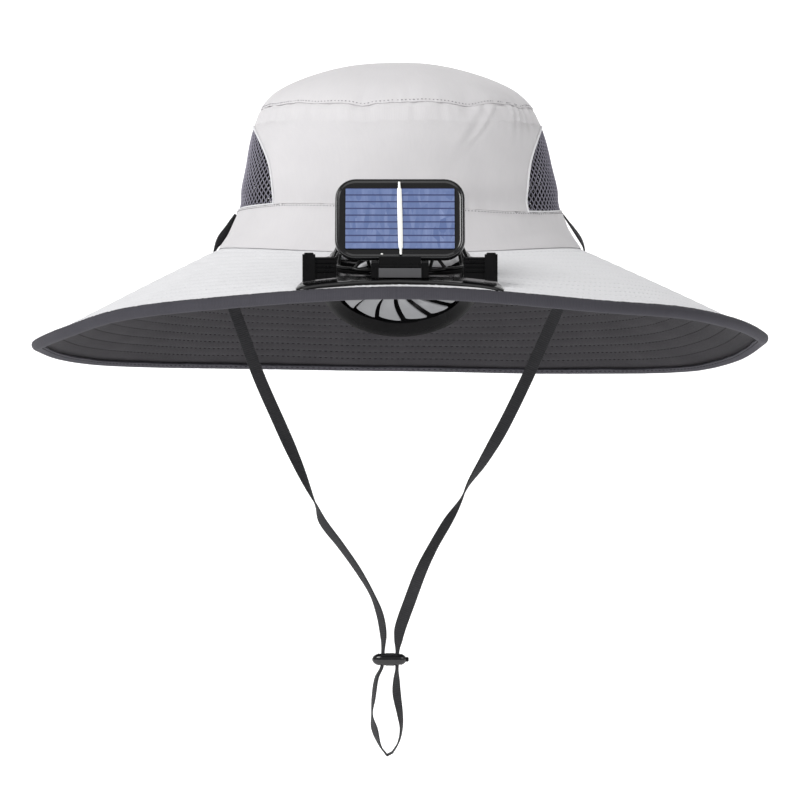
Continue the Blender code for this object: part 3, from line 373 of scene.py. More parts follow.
def plastic_finish(name, colour, roughness, coat, specular=0.25):
    made = Finish(
        name, colour, roughness, coat_weight=coat, coat_roughness=0.12, specular_ior_level=specular
    )
    place = made.object_place()
    handled = made.clouds(place, 120.0, 3.0)
    wander = made.maths("ADD", made.maths("MULTIPLY", handled, roughness * 0.8), roughness * 0.6)
    made.feed(made.shader.inputs["Roughness"], wander)
    worn = tuple(min(1.0, part * 1.5 + 0.004) for part in colour[:3]) + (1.0,)
    made.colour(made.blend(made.maths("MULTIPLY", handled, 0.5), colour, worn))
    made.relief(made.clouds(place, 2500.0, 1.0), 0.00003, 0.35)
    return made.material


black_plastic = plastic_finish("black_plastic", linear(9, 9, 10), 0.3, 0.02, 0.12)
black_gloss = plastic_finish("black_gloss", linear(8, 8, 9), 0.16, 0.15)
panel_gloss = plastic_finish("panel_gloss", linear(12, 12, 14), 0.14, 0.6)
scoop_gloss = plastic_finish("scoop_gloss", linear(6, 6, 7), 0.24, 0.06, 0.05)
grey_plastic = plastic_finish("grey_plastic", linear(116, 117, 119), 0.2, 0.1, 0.2)
# Painted highlight: the rotor's blades are grey plastic, painted near white to stand in for the highlights
# they catch behind the guard and panel, which shade them from the key light.
rotor_painted_highlight_plastic = plastic_finish("rotor_painted_highlight_plastic", linear(226, 226, 230), 0.25, 0.3)
cover_plastic = plastic_finish("cover_plastic", linear(78, 78, 80), 0.38, 0.05)


def metal_finish():
    made = Finish("motor_metal", linear(150, 150, 154), 0.35, metallic=1.0)
    brushed = made.clouds(made.scaled(made.object_place(), (300.0, 300.0, 6000.0)), 1.0, 2.0)
    made.relief(brushed, 0.00003, 0.4)
    return made.material


motor_metal = metal_finish()
print("plastic finishes made")

# %% [markdown]
# ## The solar cell's finish
#
# A cell is a blue crystal plate crossed by dark gaps, with a soldered bar up its middle, under clear resin.
# The gaps are even, so a formula of the height draws them. Crystals are patches of slightly other blues.

# %% Cell finish
CELL_STRIPS = 9


def cell_finish():
    low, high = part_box("solar_cell")
    made = Finish("solar_cell", linear(80, 98, 150), 0.28, coat_weight=1.0, coat_roughness=0.04)
    place = made.object_place()
    split = made.node("ShaderNodeSeparateXYZ", vector=place)
    up = made.maths("DIVIDE", made.maths("SUBTRACT", split.outputs["Z"], low.z), high.z - low.z)
    strip = made.maths("FRACT", made.maths("MULTIPLY", up, float(CELL_STRIPS)))
    from_gap = made.maths("MINIMUM", strip, made.maths("SUBTRACT", 1.0, strip))
    is_gap = made.maths("LESS_THAN", from_gap, 0.10)
    stretched = made.scaled(place, (500.0, 300.0, 160.0))
    crystals = made.node("ShaderNodeTexVoronoi", vector=stretched, scale=1.0)
    patches = made.blend(crystals.outputs["Color"], linear(84, 102, 148), linear(132, 146, 186))
    streaks = made.clouds(made.scaled(place, (420.0, 20.0, 30.0)), 1.0, 3.0)
    blue = made.blend(made.maths("MULTIPLY", streaks, 1.1), linear(78, 98, 142), patches)
    made.colour(made.blend(is_gap, blue, linear(48, 56, 98)))
    return made.material


solar_blue = cell_finish()


def solder_finish():
    made = Finish("solder", linear(236, 236, 232), 0.42, metallic=0.15)
    made.relief(made.clouds(made.object_place(), 900.0, 2.0), 0.00012, 0.7)
    return made.material


solder = solder_finish()
print("cell finishes made")

# %% [markdown]
# ## The hat's own form
#
# The crown, band and brim share one form: an oval seen from above, longer than it is wide, whose seams dip
# at the front and back. These sizes repeat those of the solids, so each cloth lies where its solid lies. A
# turn is an angle round the hat, from 0 at the front to 90 at the side on +X.

# %% Sizes of crown and brim
GAP = 0.0003
HEAD_HALF_WIDTH = 0.0975
CROWN_LENGTHENING = 1.125
BAND_HEIGHT = 0.023
WALL_HEIGHT = 0.074
TIP_HEIGHT = 0.0251
SEAM_DIP = 0.0075
TIP_SEAM_DIP = 0.004
CROWN_LEAN = 0.0024
BAND_THICKNESS = 0.002
CLOTH_THICKNESS = 0.0015
ARCH_HEIGHT = 0.0424
ARCH_HALF_TURN = math.radians(40.5)
RIM_HALF_WIDTH = 0.196
RIM_HALF_LENGTH = 0.209
RIM_SHIFT = 0.005
BRIM_DROP = 0.052
BRIM_SEAM_LEVEL = 0.0012
BRIM_CROWNING = 0.001
BRIM_CLOTH = 0.0012
BRIM_HALF = BRIM_CLOTH + GAP / 2

# Height share of the wall, half width as a share of HEAD_HALF_WIDTH
WALL_ROWS = (
    (0.0, 1.000),
    (0.03, 0.984),
    (0.10, 0.950),
    (0.20, 0.913),
    (0.31, 0.882),
    (0.43, 0.875),
    (0.60, 0.847),
    (0.73, 0.828),
    (0.84, 0.806),
    (0.92, 0.782),
    (1.0, 0.757),
)
# Height share of the tip, radius as a share of the tip seam
TIP_ROWS = (
    (0.0, 1.0),
    (0.19, 0.951),
    (0.38, 0.878),
    (0.54, 0.778),
    (0.72, 0.622),
    (0.88, 0.418),
    (0.97, 0.205),
    (1.0, 0.0),
)
# Turn in degrees, height of the band's upper seam as a share of BAND_HEIGHT
BAND_SEAM_ROWS = (
    (-180, 0.90),
    (-135, 0.88),
    (-90, 0.85),
    (-60, 0.92),
    (-40, 1.00),
    (-20, 1.01),
    (0, 0.97),
    (22, 0.91),
    (40, 0.82),
    (60, 0.78),
    (90, 0.85),
    (135, 0.87),
    (180, 0.90),
)
# Turn in degrees, how far the rim hangs below the head opening as a share of BRIM_DROP
RIM_ROWS = (
    (-180, 1.200),
    (-150, 1.180),
    (-120, 1.164),
    (-105, 1.120),
    (-90, 1.046),
    (-75, 1.030),
    (-60, 0.940),
    (-45, 0.798),
    (-30, 0.722),
    (0, 0.627),
    (30, 0.735),
    (45, 0.772),
    (60, 0.856),
    (75, 0.952),
    (90, 0.990),
    (105, 1.130),
    (120, 1.225),
    (150, 1.236),
    (180, 1.200),
)

# %% Points of crown and brim


def crown_point(turn, rise, inset):
    half = HEAD_HALF_WIDTH * read_table(WALL_ROWS, rise)[0]
    dip = mix(SEAM_DIP, TIP_SEAM_DIP, rise) * math.cos(turn) ** 2
    x = (half - inset) * math.sin(turn) - CROWN_LEAN * 0.7 * rise**2
    y = -(half * CROWN_LENGTHENING - inset) * math.cos(turn)
    return Vector((x, y, WALL_HEIGHT * rise - dip))


def tip_point(turn, radius, rise, depth):
    seam_half = HEAD_HALF_WIDTH * WALL_ROWS[-1][1]
    dip = TIP_SEAM_DIP * math.cos(turn) ** 2 * (1 - rise)
    x = (seam_half - depth) * radius * math.sin(turn) - CROWN_LEAN * mix(0.7, 1.0, rise)
    y = -(seam_half * CROWN_LENGTHENING - depth) * radius * math.cos(turn)
    return Vector((x, y, WALL_HEIGHT + GAP - dip + (TIP_HEIGHT - depth) * rise))


def band_rise(turn):
    """Height share of the wall at which the band's upper seam runs."""
    degrees = (math.degrees(turn) + 180) % 360 - 180
    return BAND_HEIGHT / WALL_HEIGHT * read_table(BAND_SEAM_ROWS, degrees, loop=True)[0]


def arch_rise(turn, level):
    """Height share at a share of the way from the band's seam to the tops of the arches."""
    return mix(band_rise(turn), (BAND_HEIGHT + ARCH_HEIGHT) / WALL_HEIGHT, level)


def rim_level(turn):
    degrees = (math.degrees(turn) + 180) % 360 - 180
    return -BRIM_DROP * read_table(RIM_ROWS, degrees, loop=True)[0]


def brim_halves(share):
    seam_half_width = HEAD_HALF_WIDTH - BAND_THICKNESS
    seam_half_length = HEAD_HALF_WIDTH * CROWN_LENGTHENING - BAND_THICKNESS
    half_width = mix(seam_half_width, RIM_HALF_WIDTH, share)
    half_length = mix(seam_half_length, RIM_HALF_LENGTH, share)
    return half_width, half_length, -RIM_SHIFT * share


def brim_point(turn, share, lift, rim=None):
    half_width, half_length, middle = brim_halves(share)
    seam = -BRIM_SEAM_LEVEL - SEAM_DIP * math.cos(turn) ** 2
    rim = rim_level(turn) if rim is None else rim
    z = mix(seam, rim, share) + BRIM_CROWNING * 4 * share * (1 - share)
    return Vector((half_width * math.sin(turn), middle - half_length * math.cos(turn), z + lift))


def brim_level(x, y):
    """Height of the brim's middle surface above the point (x, y)."""
    low = -0.1
    high = 1.1
    for _ in range(30):
        share = (low + high) / 2
        half_width, half_length, middle = brim_halves(share)
        if (x / half_width) ** 2 + ((y - middle) / half_length) ** 2 > 1:
            low = share
        else:
            high = share
    turn = math.atan2(x / half_width, -(y - middle) / half_length)
    return brim_point(turn, share, 0).z


print("brim falls to", round(rim_level(0), 4), "at the front and", round(rim_level(math.pi), 4), "behind")

# %% [markdown]
# ## Stitches
#
# A sewn seam is a row of short threads that dive into the cloth at both ends. One long tube would look like
# piping, and a bump pattern goes flat in side light, so every stitch is a small pointed bead. All the
# stitches of a seam are joined into one mesh, and each has only sixteen triangles.

# %% The seamstress


def sew(work, line, outward, length=0.0026, spacing=0.0036, girth=0.00028, proud=0.00018):
    """Sets stitches along a line of points, given the cloth's outward direction at each."""
    line = np.asarray(line, dtype=float)
    outward = np.asarray(outward, dtype=float)
    far = run_lengths(line)
    starts = np.arange(0.0, far[-1] - length, spacing)
    marks = (starts, starts + 0.3 * length, starts + 0.7 * length, starts + length)
    spots = [np.stack([np.interp(mark, far, line[:, axis]) for axis in range(3)], axis=1) for mark in marks]
    up = np.stack([np.interp(marks[1], far, outward[:, axis]) for axis in range(3)], axis=1)
    up /= np.linalg.norm(up, axis=1)[:, None]
    side = np.cross(spots[3] - spots[0], up)
    side /= np.linalg.norm(side, axis=1)[:, None]
    rings = []
    for spot in (spots[1], spots[2]):
        middle = spot + up * proud
        rings += [middle + side * girth, middle + up * girth, middle - side * girth, middle - up * girth]
    ends = [spots[0] - up * girth, spots[3] - up * girth]
    corners = np.stack(rings + ends, axis=1)
    base = work.count
    for stitch in range(len(starts)):
        first = base + stitch * 10
        for step in range(4):
            near = first + step
            following = first + (step + 1) % 4
            faces = ([near, following, first + 8], [near, near + 4, following + 4, following])
            for face in faces + ([following + 4, near + 4, first + 9],):
                work.faces.append(face)
                work.places.append([[0.0, 0.0]] * len(face))
    work.points += corners.reshape(-1, 3).tolist()
    work.count += len(starts) * 10
    return len(starts)


# %% [markdown]
# ## The crown's walls
#
# Two cloth walls make the front and back of the crown, cut away in arches at the sides for the net. Flat
# cloth sewn to a curve never lies still: it puckers beside each seam and folds where it is pushed in. The
# wall is a fine grid whose points move out by formulas for puckers, soft dents and a few slanting folds.

# %% Folds of the crown
PUCKER_DEPTH = 0.0007
DENT_DEPTH = 0.0007
FOLD_HEIGHT = 0.0013

# Turn of the fold's head in degrees, its lean in degrees for each share of height, width in degrees,
# height as a share of FOLD_HEIGHT, how far down it runs as a share of the wall
FOLD_ROWS = (
    (43, -27, 1.5, 0.35, 0.30),
    (54, -12, 1.4, 0.7, 0.18),
    (58, -10, 1.4, 0.8, 0.20),
    (62.5, -8, 1.4, 0.8, 0.18),
    (68, -6, 1.5, 0.7, 0.16),
    (34, -20, 2.4, 0.5, 0.30),
    (-52, 14, 2.4, 0.6, 0.24),
    (-62, 10, 2.0, 0.5, 0.20),
    (150, -16, 2.8, 0.6, 0.24),
    (-140, 14, 2.8, 0.6, 0.24),
)
# Turn in degrees where a fold line of the tip starts at the seam, its height as a share of FOLD_HEIGHT
TIP_FOLD_ROWS = (
    (48, 0.55),
    (54, 0.65),
    (60, 0.60),
    (66, 0.50),
)
TIP_FOLD_LEAN = -115
# Turn in degrees where the tip seam sags, its depth in metres, its reach in degrees
SAG_ROWS = (
    (-14, 0.0017, 5.0),
    (30, 0.0020, 5.5),
    (-44, -0.0008, 6.0),
    (8, -0.0006, 6.0),
    (62, 0.0014, 5.0),
    (130, 0.0012, 7.0),
    (-120, 0.0014, 8.0),
    (175, 0.0012, 7.0),
)


def degrees_apart(turn, degrees):
    return (math.degrees(turn) - degrees + 180) % 360 - 180


def seam_sag(turn):
    """How far the sewn seam round the tip hangs below its even line."""
    sag = sum(depth * bump(degrees_apart(turn, at), reach) for at, depth, reach in SAG_ROWS)
    along = turn * HEAD_HALF_WIDTH
    return sag + 0.0005 * unevenness(along, 0.3, 0.1, 0.009)


def crown_relief(turn, rise):
    """How far the crown's cloth stands out of its even form at a point."""
    along = turn * HEAD_HALF_WIDTH
    height = rise * WALL_HEIGHT
    below_tip = WALL_HEIGHT - height
    above_band = height - band_rise(turn) * WALL_HEIGHT
    out = DENT_DEPTH * unevenness(along, height, 0.0, 0.034)
    out += 0.35 * DENT_DEPTH * unevenness(along, height * 0.6, 0.5, 0.012)
    out += PUCKER_DEPTH * unevenness(along, height * 0.25, 0.2, 0.0042) * bump(below_tip, 0.009)
    out += PUCKER_DEPTH * 0.8 * unevenness(along, height * 0.25, 0.7, 0.0045) * bump(above_band, 0.005)
    for at, lean, width, share, run in FOLD_ROWS:
        off = degrees_apart(turn, at + lean * (1 - rise) * 2.2)
        fade = bump(1 - rise, run)
        out += FOLD_HEIGHT * share * fade * (bump(off, width) - 0.6 * bump(off - width * 1.5, width))
    return out - 0.0009 * bump(below_tip, 0.0012)


# %% Front and back walls
WALL_COLUMNS = 170
ARCH_STEPS = 26


def arch_half_turn(level):
    return ARCH_HALF_TURN * math.sqrt(max(0.0, 1 - level**2))


def wall_levels():
    """Levels of the wall's rows, close together where the arch turns over its top, and the cut at each."""
    levels = [math.sin(math.pi / 2 * step / ARCH_STEPS) for step in range(ARCH_STEPS + 1)]
    rows = [(level, arch_half_turn(level)) for level in levels]
    return rows + [(1.0 + share, 0.0) for share in shares(13)[1:]]


def level_rise(turn, level):
    """Height share of the wall at a level: 0 at the band, 1 at the arches' tops, 2 at the tip seam."""
    if level > 1:
        return mix(arch_rise(turn, 1.0), 1.0, level - 1)
    return arch_rise(turn, level) + (0.0 if level else GAP / WALL_HEIGHT)


def crown_wall(name, middle_turn):
    levels = wall_levels()
    grid = []
    for across in shares(WALL_COLUMNS, -1.0, 1.0):
        outer = []
        inner = []
        for level, cut in levels:
            half = math.pi / 2 - max(cut, GAP / 2 / HEAD_HALF_WIDTH)
            turn = middle_turn + half * across
            rise = level_rise(turn, level)
            out = crown_relief(turn, rise) * (1 - 0.8 * abs(across) ** 12)
            sag = Vector((0, 0, -seam_sag(turn) * bump(1 - rise, 0.16)))
            outer.append(crown_point(turn, rise, -out) + sag)
            inner.append(crown_point(turn, rise, CLOTH_THICKNESS - out) + sag)
        grid.append(outer + inner[::-1])
    work = Workpiece()
    work.rows(grid, ring=True, ends="strip")
    return work.finish(name + "_cloth", light_cloth, [name], slot="light_cloth")


crown_wall("crown_front", 0.0)
crown_wall("crown_back", math.pi)

# %% [markdown]
# ## The tip
#
# The top of the crown is a shallow dome sewn to the walls. It could be a stretched sphere, but real cloth
# sags a little between the seam and the middle, so its rows follow a table and the same noise as the walls.

# %% The tip's cloth
TIP_COLUMNS = 260
TIP_RINGS = 34


def tip_relief(turn, radius):
    x = radius * math.sin(turn) * HEAD_HALF_WIDTH
    y = radius * math.cos(turn) * HEAD_HALF_WIDTH
    from_seam = (1 - radius) * HEAD_HALF_WIDTH
    out = 0.8 * DENT_DEPTH * unevenness(x, y, 3.0, 0.036) * (1 - bump(from_seam, 0.004))
    along = turn * HEAD_HALF_WIDTH
    out += PUCKER_DEPTH * unevenness(along, from_seam * 0.3, 0.2, 0.0042) * bump(from_seam, 0.007)
    for at, share in TIP_FOLD_ROWS:
        off = degrees_apart(turn, at + TIP_FOLD_LEAN * (1 - radius)) * radius
        fade = bump(from_seam - 0.004, 0.016)
        out += FOLD_HEIGHT * share * fade * (bump(off, 1.1) - 0.5 * bump(off + 2.2, 1.6))
    return out - 0.0007 * bump(from_seam, 0.001)


def tip_rises():
    """Heights and radii of the tip's rings, evenly spaced along its curve."""
    fine = [(rise, read_table(TIP_ROWS, rise)[0]) for rise in shares(400)]
    curve = np.array([(radius * HEAD_HALF_WIDTH, rise * TIP_HEIGHT, 0) for rise, radius in fine])
    far = run_lengths(curve)
    rises = np.interp(np.linspace(0, far[-1], TIP_RINGS), far, [rise for rise, _ in fine])
    return [(float(rise), max(0.0, read_table(TIP_ROWS, float(rise))[0])) for rise in rises]


def crown_tip():
    rings = tip_rises()
    grid = []
    for turn in turns(TIP_COLUMNS):
        outer = []
        inner = []
        for rise, radius in rings:
            out = tip_relief(turn, radius) * (1 if radius > 0.02 else 0)
            sag = Vector((0, 0, -seam_sag(turn) * bump(1 - radius, 0.10)))
            outer.append(tip_point(turn, radius, rise, -out * 0.8) + sag)
            inner.append(tip_point(turn, radius, rise, CLOTH_THICKNESS - out * 0.8) + sag)
        grid.append(outer + inner[::-1])
    work = Workpiece()
    work.rows(grid, ring=True, loop=True)
    return work.finish("crown_tip_cloth", light_cloth, ["crown_tip"], slot="light_cloth")


crown_tip()

# %% [markdown]
# ## The band
#
# A strip of the same cloth, two layers thick, joins the crown to the brim. Its lower edge rests on the
# brim, and its upper edge puckers where the walls and net are sewn to it.

# %% The band's cloth
BAND_COLUMNS = 300


def band_relief(turn, share):
    along = turn * HEAD_HALF_WIDTH
    height = share * BAND_HEIGHT
    out = 0.0005 * unevenness(along, height * 1.6, 5.0, 0.022)
    out += 0.0007 * unevenness(along, height * 0.3, 6.0, 0.0042) * bump(BAND_HEIGHT - height, 0.005)
    out += 0.0003 * unevenness(along * 0.35, height, 7.0, 0.006)
    return out + 0.0004 * bump(BAND_HEIGHT - height, 0.0018)


def hat_band():
    grid = []
    for turn in turns(BAND_COLUMNS):
        outer = []
        inner = []
        for share in shares(22):
            rise = share * band_rise(turn)
            out = band_relief(turn, share)
            outer.append(crown_point(turn, rise, -out * min(1, share * 6)))
            inner.append(crown_point(turn, rise, BAND_THICKNESS))
        wobble = 0.0004 * unevenness(turn * HEAD_HALF_WIDTH, 8.0, 0, 0.004)
        outer[-1].z += wobble
        inner[-1].z += wobble
        for foot in (outer[0], inner[0]):
            foot.z = brim_level(foot.x, foot.y) + BRIM_HALF + GAP
        grid.append(outer + inner[::-1])
    work = Workpiece()
    work.rows(grid, ring=True, loop=True)
    return work.finish("hat_band_cloth", light_cloth, ["hat_band"], slot="light_cloth")


hat_band()

# %% [markdown]
# ## Piping and crown seams
#
# A narrow rolled edge runs round each net arch and on along the top of the band. It is a thin round cord
# covered in the light cloth. The seams beside it, round the tip and along the band, are rows of stitches.

# %% Piping
PIPING_RADIUS = 0.0006


def tube(work, line, radius, sides=8, ends="face", loop=False, flatten=1.0, up=(0, 0, 1)):
    """A round or flattened tube along a line of points."""
    line = np.asarray(line, dtype=float)
    if loop:
        ahead = np.roll(line, -1, axis=0) - np.roll(line, 1, axis=0)
    else:
        ahead = np.gradient(line, axis=0)
    ahead /= np.linalg.norm(ahead, axis=1)[:, None]
    across = np.cross(ahead, np.asarray(up, dtype=float))
    across /= np.linalg.norm(across, axis=1)[:, None]
    lift = np.cross(across, ahead)
    rings = []
    for turn in turns(sides):
        rings.append(line + radius * (across * math.cos(turn) + lift * math.sin(turn) * flatten))
    work.rows(np.stack(rings, axis=1), ring=True, loop=loop, ends=None if loop else ends)


def arch_line(side, margin, inset):
    """Points round one net panel's arch, a margin outside its edge."""
    line = []
    for share in shares(90, -1.0, 1.0):
        angle = math.pi / 2 * share
        level = math.cos(angle)
        spread = ARCH_HALF_TURN * math.sin(angle) * (1 + margin / 0.0647)
        turn = side * math.pi / 2 + spread
        rise = arch_rise(turn, level) + margin * level / WALL_HEIGHT
        line.append(crown_point(turn, rise, inset))
    return line


def band_edge(side):
    """Points along the foot of one net panel, on the band's seam."""
    line = []
    for share in shares(60, -1.0, 1.0):
        turn = side * math.pi / 2 + ARCH_HALF_TURN * share
        line.append(crown_point(turn, band_rise(turn) + 0.0006 / WALL_HEIGHT, -0.0003))
    return line


def arch_piping():
    work = Workpiece()
    for side in (1, -1):
        tube(work, arch_line(side, 0.0003, -0.0003), PIPING_RADIUS, up=(side, 0, 0.2))
        tube(work, band_edge(side), 0.8 * PIPING_RADIUS, up=(0, 0, 1))
    return work.finish("arch_piping", brim_cloth, slot="light_cloth")


arch_piping()

# %% Stitches of the crown


def ring_line(height_of, count=700):
    """A line round the hat and its outward directions, from a function of the turn."""
    line = [height_of(turn) for turn in turns(count)]
    line.append(line[0])
    outward = [Vector((point.x, point.y * 0.8, 0.0)).normalized() for point in line]
    return line, outward


def crown_stitches():
    work = Workpiece()

    def on_band(below_top):
        def place(turn):
            share = 1 - below_top / BAND_HEIGHT
            return crown_point(turn, share * band_rise(turn), -band_relief(turn, share))
        return place

    def on_tip(turn):
        cloth = tip_point(turn, 0.989, 0.042, -tip_relief(turn, 0.989))
        return cloth + Vector((0, 0, -seam_sag(turn)))

    count = sew(work, *ring_line(on_tip), 0.0013, 0.0021, 0.0002, 0.0001)
    count += sew(work, *ring_line(on_band(0.0007)), 0.0012, 0.0019, 0.00022, 0.0001)
    print("crown stitches:", count)
    return work.finish("crown_stitches", light_thread, slot="light_cloth")


crown_stitches()

# %% [markdown]
# ## The net panels
#
# Spacer net is knitted: strands run up in zigzags and catch their neighbours, first on one side and then on
# the other, which leaves lens-shaped holes. A see-through picture would look flat from the side, so every
# strand is a real tube. A second layer lies behind the first, as in spacer net, but it is painted near black
# with strands wide enough to close the holes: painted shade for the hat's dark inside seen through the net.

# %% Knitting the net
STRAND_PITCH = 0.0024
ZIGZAG_PITCH = 0.0036
STRAND_WIDTH = 0.0008
NET_REFERENCE_RADIUS = 0.0915


def strand_line(side, place, phase, inset):
    """One zigzag strand from the band up to the arch's edge."""
    half_base = ARCH_HALF_TURN * NET_REFERENCE_RADIUS
    height = ARCH_HEIGHT * math.sqrt(max(0.0, 1 - (place / half_base) ** 2))
    steps = max(3, int(height / ZIGZAG_PITCH * 8))
    swing = (STRAND_PITCH - STRAND_WIDTH) / 2
    line = []
    for up in shares(steps, GAP, height):
        across = place + swing * math.sin(math.tau * up / ZIGZAG_PITCH + phase)
        across = max(-half_base, min(half_base, across))
        turn = side * math.pi / 2 + across / NET_REFERENCE_RADIUS
        line.append(crown_point(turn, arch_rise(turn, up / ARCH_HEIGHT), inset))
    return line


def net_layer(side, inset, shift, thickness, width):
    work = Workpiece()
    half_base = ARCH_HALF_TURN * NET_REFERENCE_RADIUS
    count = int(half_base / STRAND_PITCH)
    for number in range(-count, count + 1):
        line = strand_line(side, number * STRAND_PITCH + shift, math.pi * number, inset)
        if len(line) > 3:
            tube(work, line, width / 2, sides=5, flatten=thickness, up=(side, 0, 0))
    return work


def net_panel(name, side):
    front = net_layer(side, 0.0004, 0.0, 0.75, STRAND_WIDTH)
    front.finish(name + "_face", net_cloth, [name], slot="net", sharp=80)
    # The back layer's wide near-black strands close the holes: painted shade for the hat's dark inside.
    back = net_layer(side, 0.0013, STRAND_PITCH / 2, 0.25, 1.15 * STRAND_PITCH)
    back.finish(name + "_back", net_painted_shade_back, slot="net", sharp=80)


net_panel("mesh_panel_right", 1)
net_panel("mesh_panel_left", -1)

# %% [markdown]
# ## The brim
#
# Light cloth on top and dark cloth below are sewn together in rings about 7 mm apart. Between two rows of
# stitches the cloth swells, and at each row it is pulled in. Both show in side light, so they are real
# relief in a fine grid, with the threads themselves on top.

# %% Brim cloth
RING_PITCH = 0.0066
BRIM_COLUMNS = 340
SAMPLES_A_RING = 7
SWELL = 0.00055
EDGE_SHARE = 1 - 0.0026 / (RIM_HALF_WIDTH - HEAD_HALF_WIDTH)


def brim_swell(turn, share):
    """Relief of the quilted rings: 0 at a stitch row, SWELL between two rows."""
    out = share * (RIM_HALF_WIDTH - HEAD_HALF_WIDTH)
    phase = out / RING_PITCH
    swell = abs(math.sin(math.pi * phase)) ** 0.7
    uneven = 0.8 + 0.3 * unevenness(turn * 0.14, out * 0.5, 9.0, 0.012)
    return SWELL * swell * uneven * min(1.0, share * 12)


def brim_wave(turn, share):
    """The soft unevenness of the whole brim."""
    point = brim_point(turn, share, 0, 0)
    return 0.0009 * share * unevenness(point.x, point.y, 2.0, 0.075) * min(1, 8 * (1.02 - share))


def brim_cloth_piece(name, top, finish, slot):
    rings = int((RIM_HALF_WIDTH - HEAD_HALF_WIDTH) / RING_PITCH * SAMPLES_A_RING)
    side = 1 if top else -1
    grid = []
    for turn in turns(BRIM_COLUMNS):
        rim = rim_level(turn)
        outer = []
        for share in shares(rings, 0.0, EDGE_SHARE):
            relief = brim_swell(turn, share) - 0.4 * SWELL
            lift = side * (BRIM_HALF + relief) + brim_wave(turn, share)
            outer.append(brim_point(turn, share, lift, rim))
        inner = []
        for share in shares(16, 0.0, EDGE_SHARE):
            inner.append(brim_point(turn, share, side * GAP / 2 + brim_wave(turn, share), rim))
        grid.append(outer + inner[::-1])
    work = Workpiece()
    work.rows(grid, ring=True, loop=True, laid_flat=True)
    return work.finish(name + "_cloth", finish, [name], slot=slot)


brim_top = brim_cloth_piece("brim_top", True, brim_cloth, "brim_cloth")
brim_under = brim_cloth_piece("brim_underside", False, dark_cloth, "dark_cloth")

# %% [markdown]
# ## Openings in the brim
#
# The fan's sleeve goes through a round hole in both cloths, and the strap through a small slot at each
# side. A Boolean modifier cuts them with hidden solids. The hole stands on the fan's own axis, which is read
# from its joint.

# %% Cut the openings
FAN_CENTRE = Vector(joints["fan_spin"]["pos_m"])
FAN_AXIS = Vector(joints["fan_spin"]["axis"])
FAN_TILT = math.atan2(-FAN_AXIS.y, FAN_AXIS.z)
BRIM_HOLE_RADIUS = 0.036
# Middles of the strap's two slots along x, and the size of each slot's cutter
SLOT_PLACES = (-0.1007, 0.0992)
SLOT_SIZE = (0.0036, 0.0078, 0.02)
# No stitch of the brim comes nearer to the fan's middle
COLLAR_CLEARANCE = 0.0405
fan_space = Matrix.Translation(FAN_CENTRE) @ Matrix.Rotation(FAN_TILT, 4, "X")


def hidden_cutter(name, fill):
    made = bmesh.new()
    fill(made)
    mesh = bpy.data.meshes.new(name)
    made.to_mesh(mesh)
    made.free()
    cutter = bpy.data.objects.new(name, mesh)
    bpy.context.scene.collection.objects.link(cutter)
    cutter.hide_render = True
    cutter.hide_viewport = True
    return cutter


def fill_hole(made):
    bmesh.ops.create_cone(
        made, cap_ends=True, segments=96, radius1=BRIM_HOLE_RADIUS, radius2=BRIM_HOLE_RADIUS,
        depth=0.04, matrix=fan_space,
    )


def fill_slots(made):
    for place in SLOT_PLACES:
        size = Matrix.Diagonal((*SLOT_SIZE, 1.0))
        level = brim_level(place, 0)
        bmesh.ops.create_cube(made, size=1.0, matrix=Matrix.Translation((place, 0, level)) @ size)


hole_cutter = hidden_cutter("hole_cutter", fill_hole)
slot_cutter = hidden_cutter("slot_cutter", fill_slots)
for cloth in (brim_top, brim_under):
    for cutter in (hole_cutter, slot_cutter):
        cut = cloth.modifiers.new("opening", "BOOLEAN")
        cut.operation = "DIFFERENCE"
        cut.object = cutter
print("fan tilt", round(math.degrees(FAN_TILT), 2), "degrees")

# %% Stitches of the brim


def clear_of_fan(point):
    return (point.xy - FAN_CENTRE.xy).length > COLLAR_CLEARANCE


def brim_row(row, top):
    """The stretches of one stitch row that the fan doesn't cover."""
    share = row * RING_PITCH / (RIM_HALF_WIDTH - HEAD_HALF_WIDTH)
    side = 1 if top else -1
    stretches = [[]]
    count = 560
    for step in range(count + 1):
        turn = math.pi + math.tau * step / count
        lift = side * (BRIM_HALF - 0.4 * SWELL) + brim_wave(turn, share)
        point = brim_point(turn, share, lift)
        if clear_of_fan(point):
            stretches[-1].append(point)
        elif stretches[-1]:
            stretches.append([])
    return [stretch for stretch in stretches if len(stretch) > 3]


def brim_stitches(name, top, thread, slot):
    work = Workpiece()
    rows = int((RIM_HALF_WIDTH - HEAD_HALF_WIDTH - 0.008) / RING_PITCH)
    count = 0
    for row in range(1, rows + 1):
        for stretch in brim_row(row, top):
            outward = [Vector((0, 0, 1 if top else -1))] * len(stretch)
            girth = 0.0002 if top else 0.0003
            count += sew(work, stretch, outward, 0.0026, 0.0034, girth, 0.00008)
    print(name, count)
    return work.finish(name, thread, slot=slot)


brim_stitches("brim_top_stitches", True, brim_thread, "brim_cloth")
brim_stitches("brim_underside_stitches", False, dark_thread, "dark_cloth")

# %% [markdown]
# ## The binding
#
# A folded tape closes the rim. It is soft, so its section is a rounded U that wraps both cloths, and its
# inner edges wander and pucker a little where they are sewn down.

# %% The rim's tape
BINDING_WRAP = 0.0058
BINDING_TOP_SHARE = 0.75
BINDING_WALL = 0.001
BINDING_COLUMNS = 420


def binding_section():
    """Depth inward from the rim and height, round the outside and back along the inside."""
    inside = BRIM_HALF + GAP
    outside = inside + BINDING_WALL
    top_wrap = BINDING_WRAP * BINDING_TOP_SHARE
    points = [(top_wrap * share, outside) for share in (1.0, 0.85, 0.7, 0.58)]
    for step in range(9):
        angle = math.pi * step / 8
        points.append((0.0022 - 0.0022 * math.sin(angle), outside * math.cos(angle)))
    points += [(BINDING_WRAP * share, -outside) for share in (0.42, 0.6, 0.8, 1.0)]
    points += [(BINDING_WRAP, -inside), (0.0022, -inside), (0.0022, inside), (top_wrap, inside)]
    return points


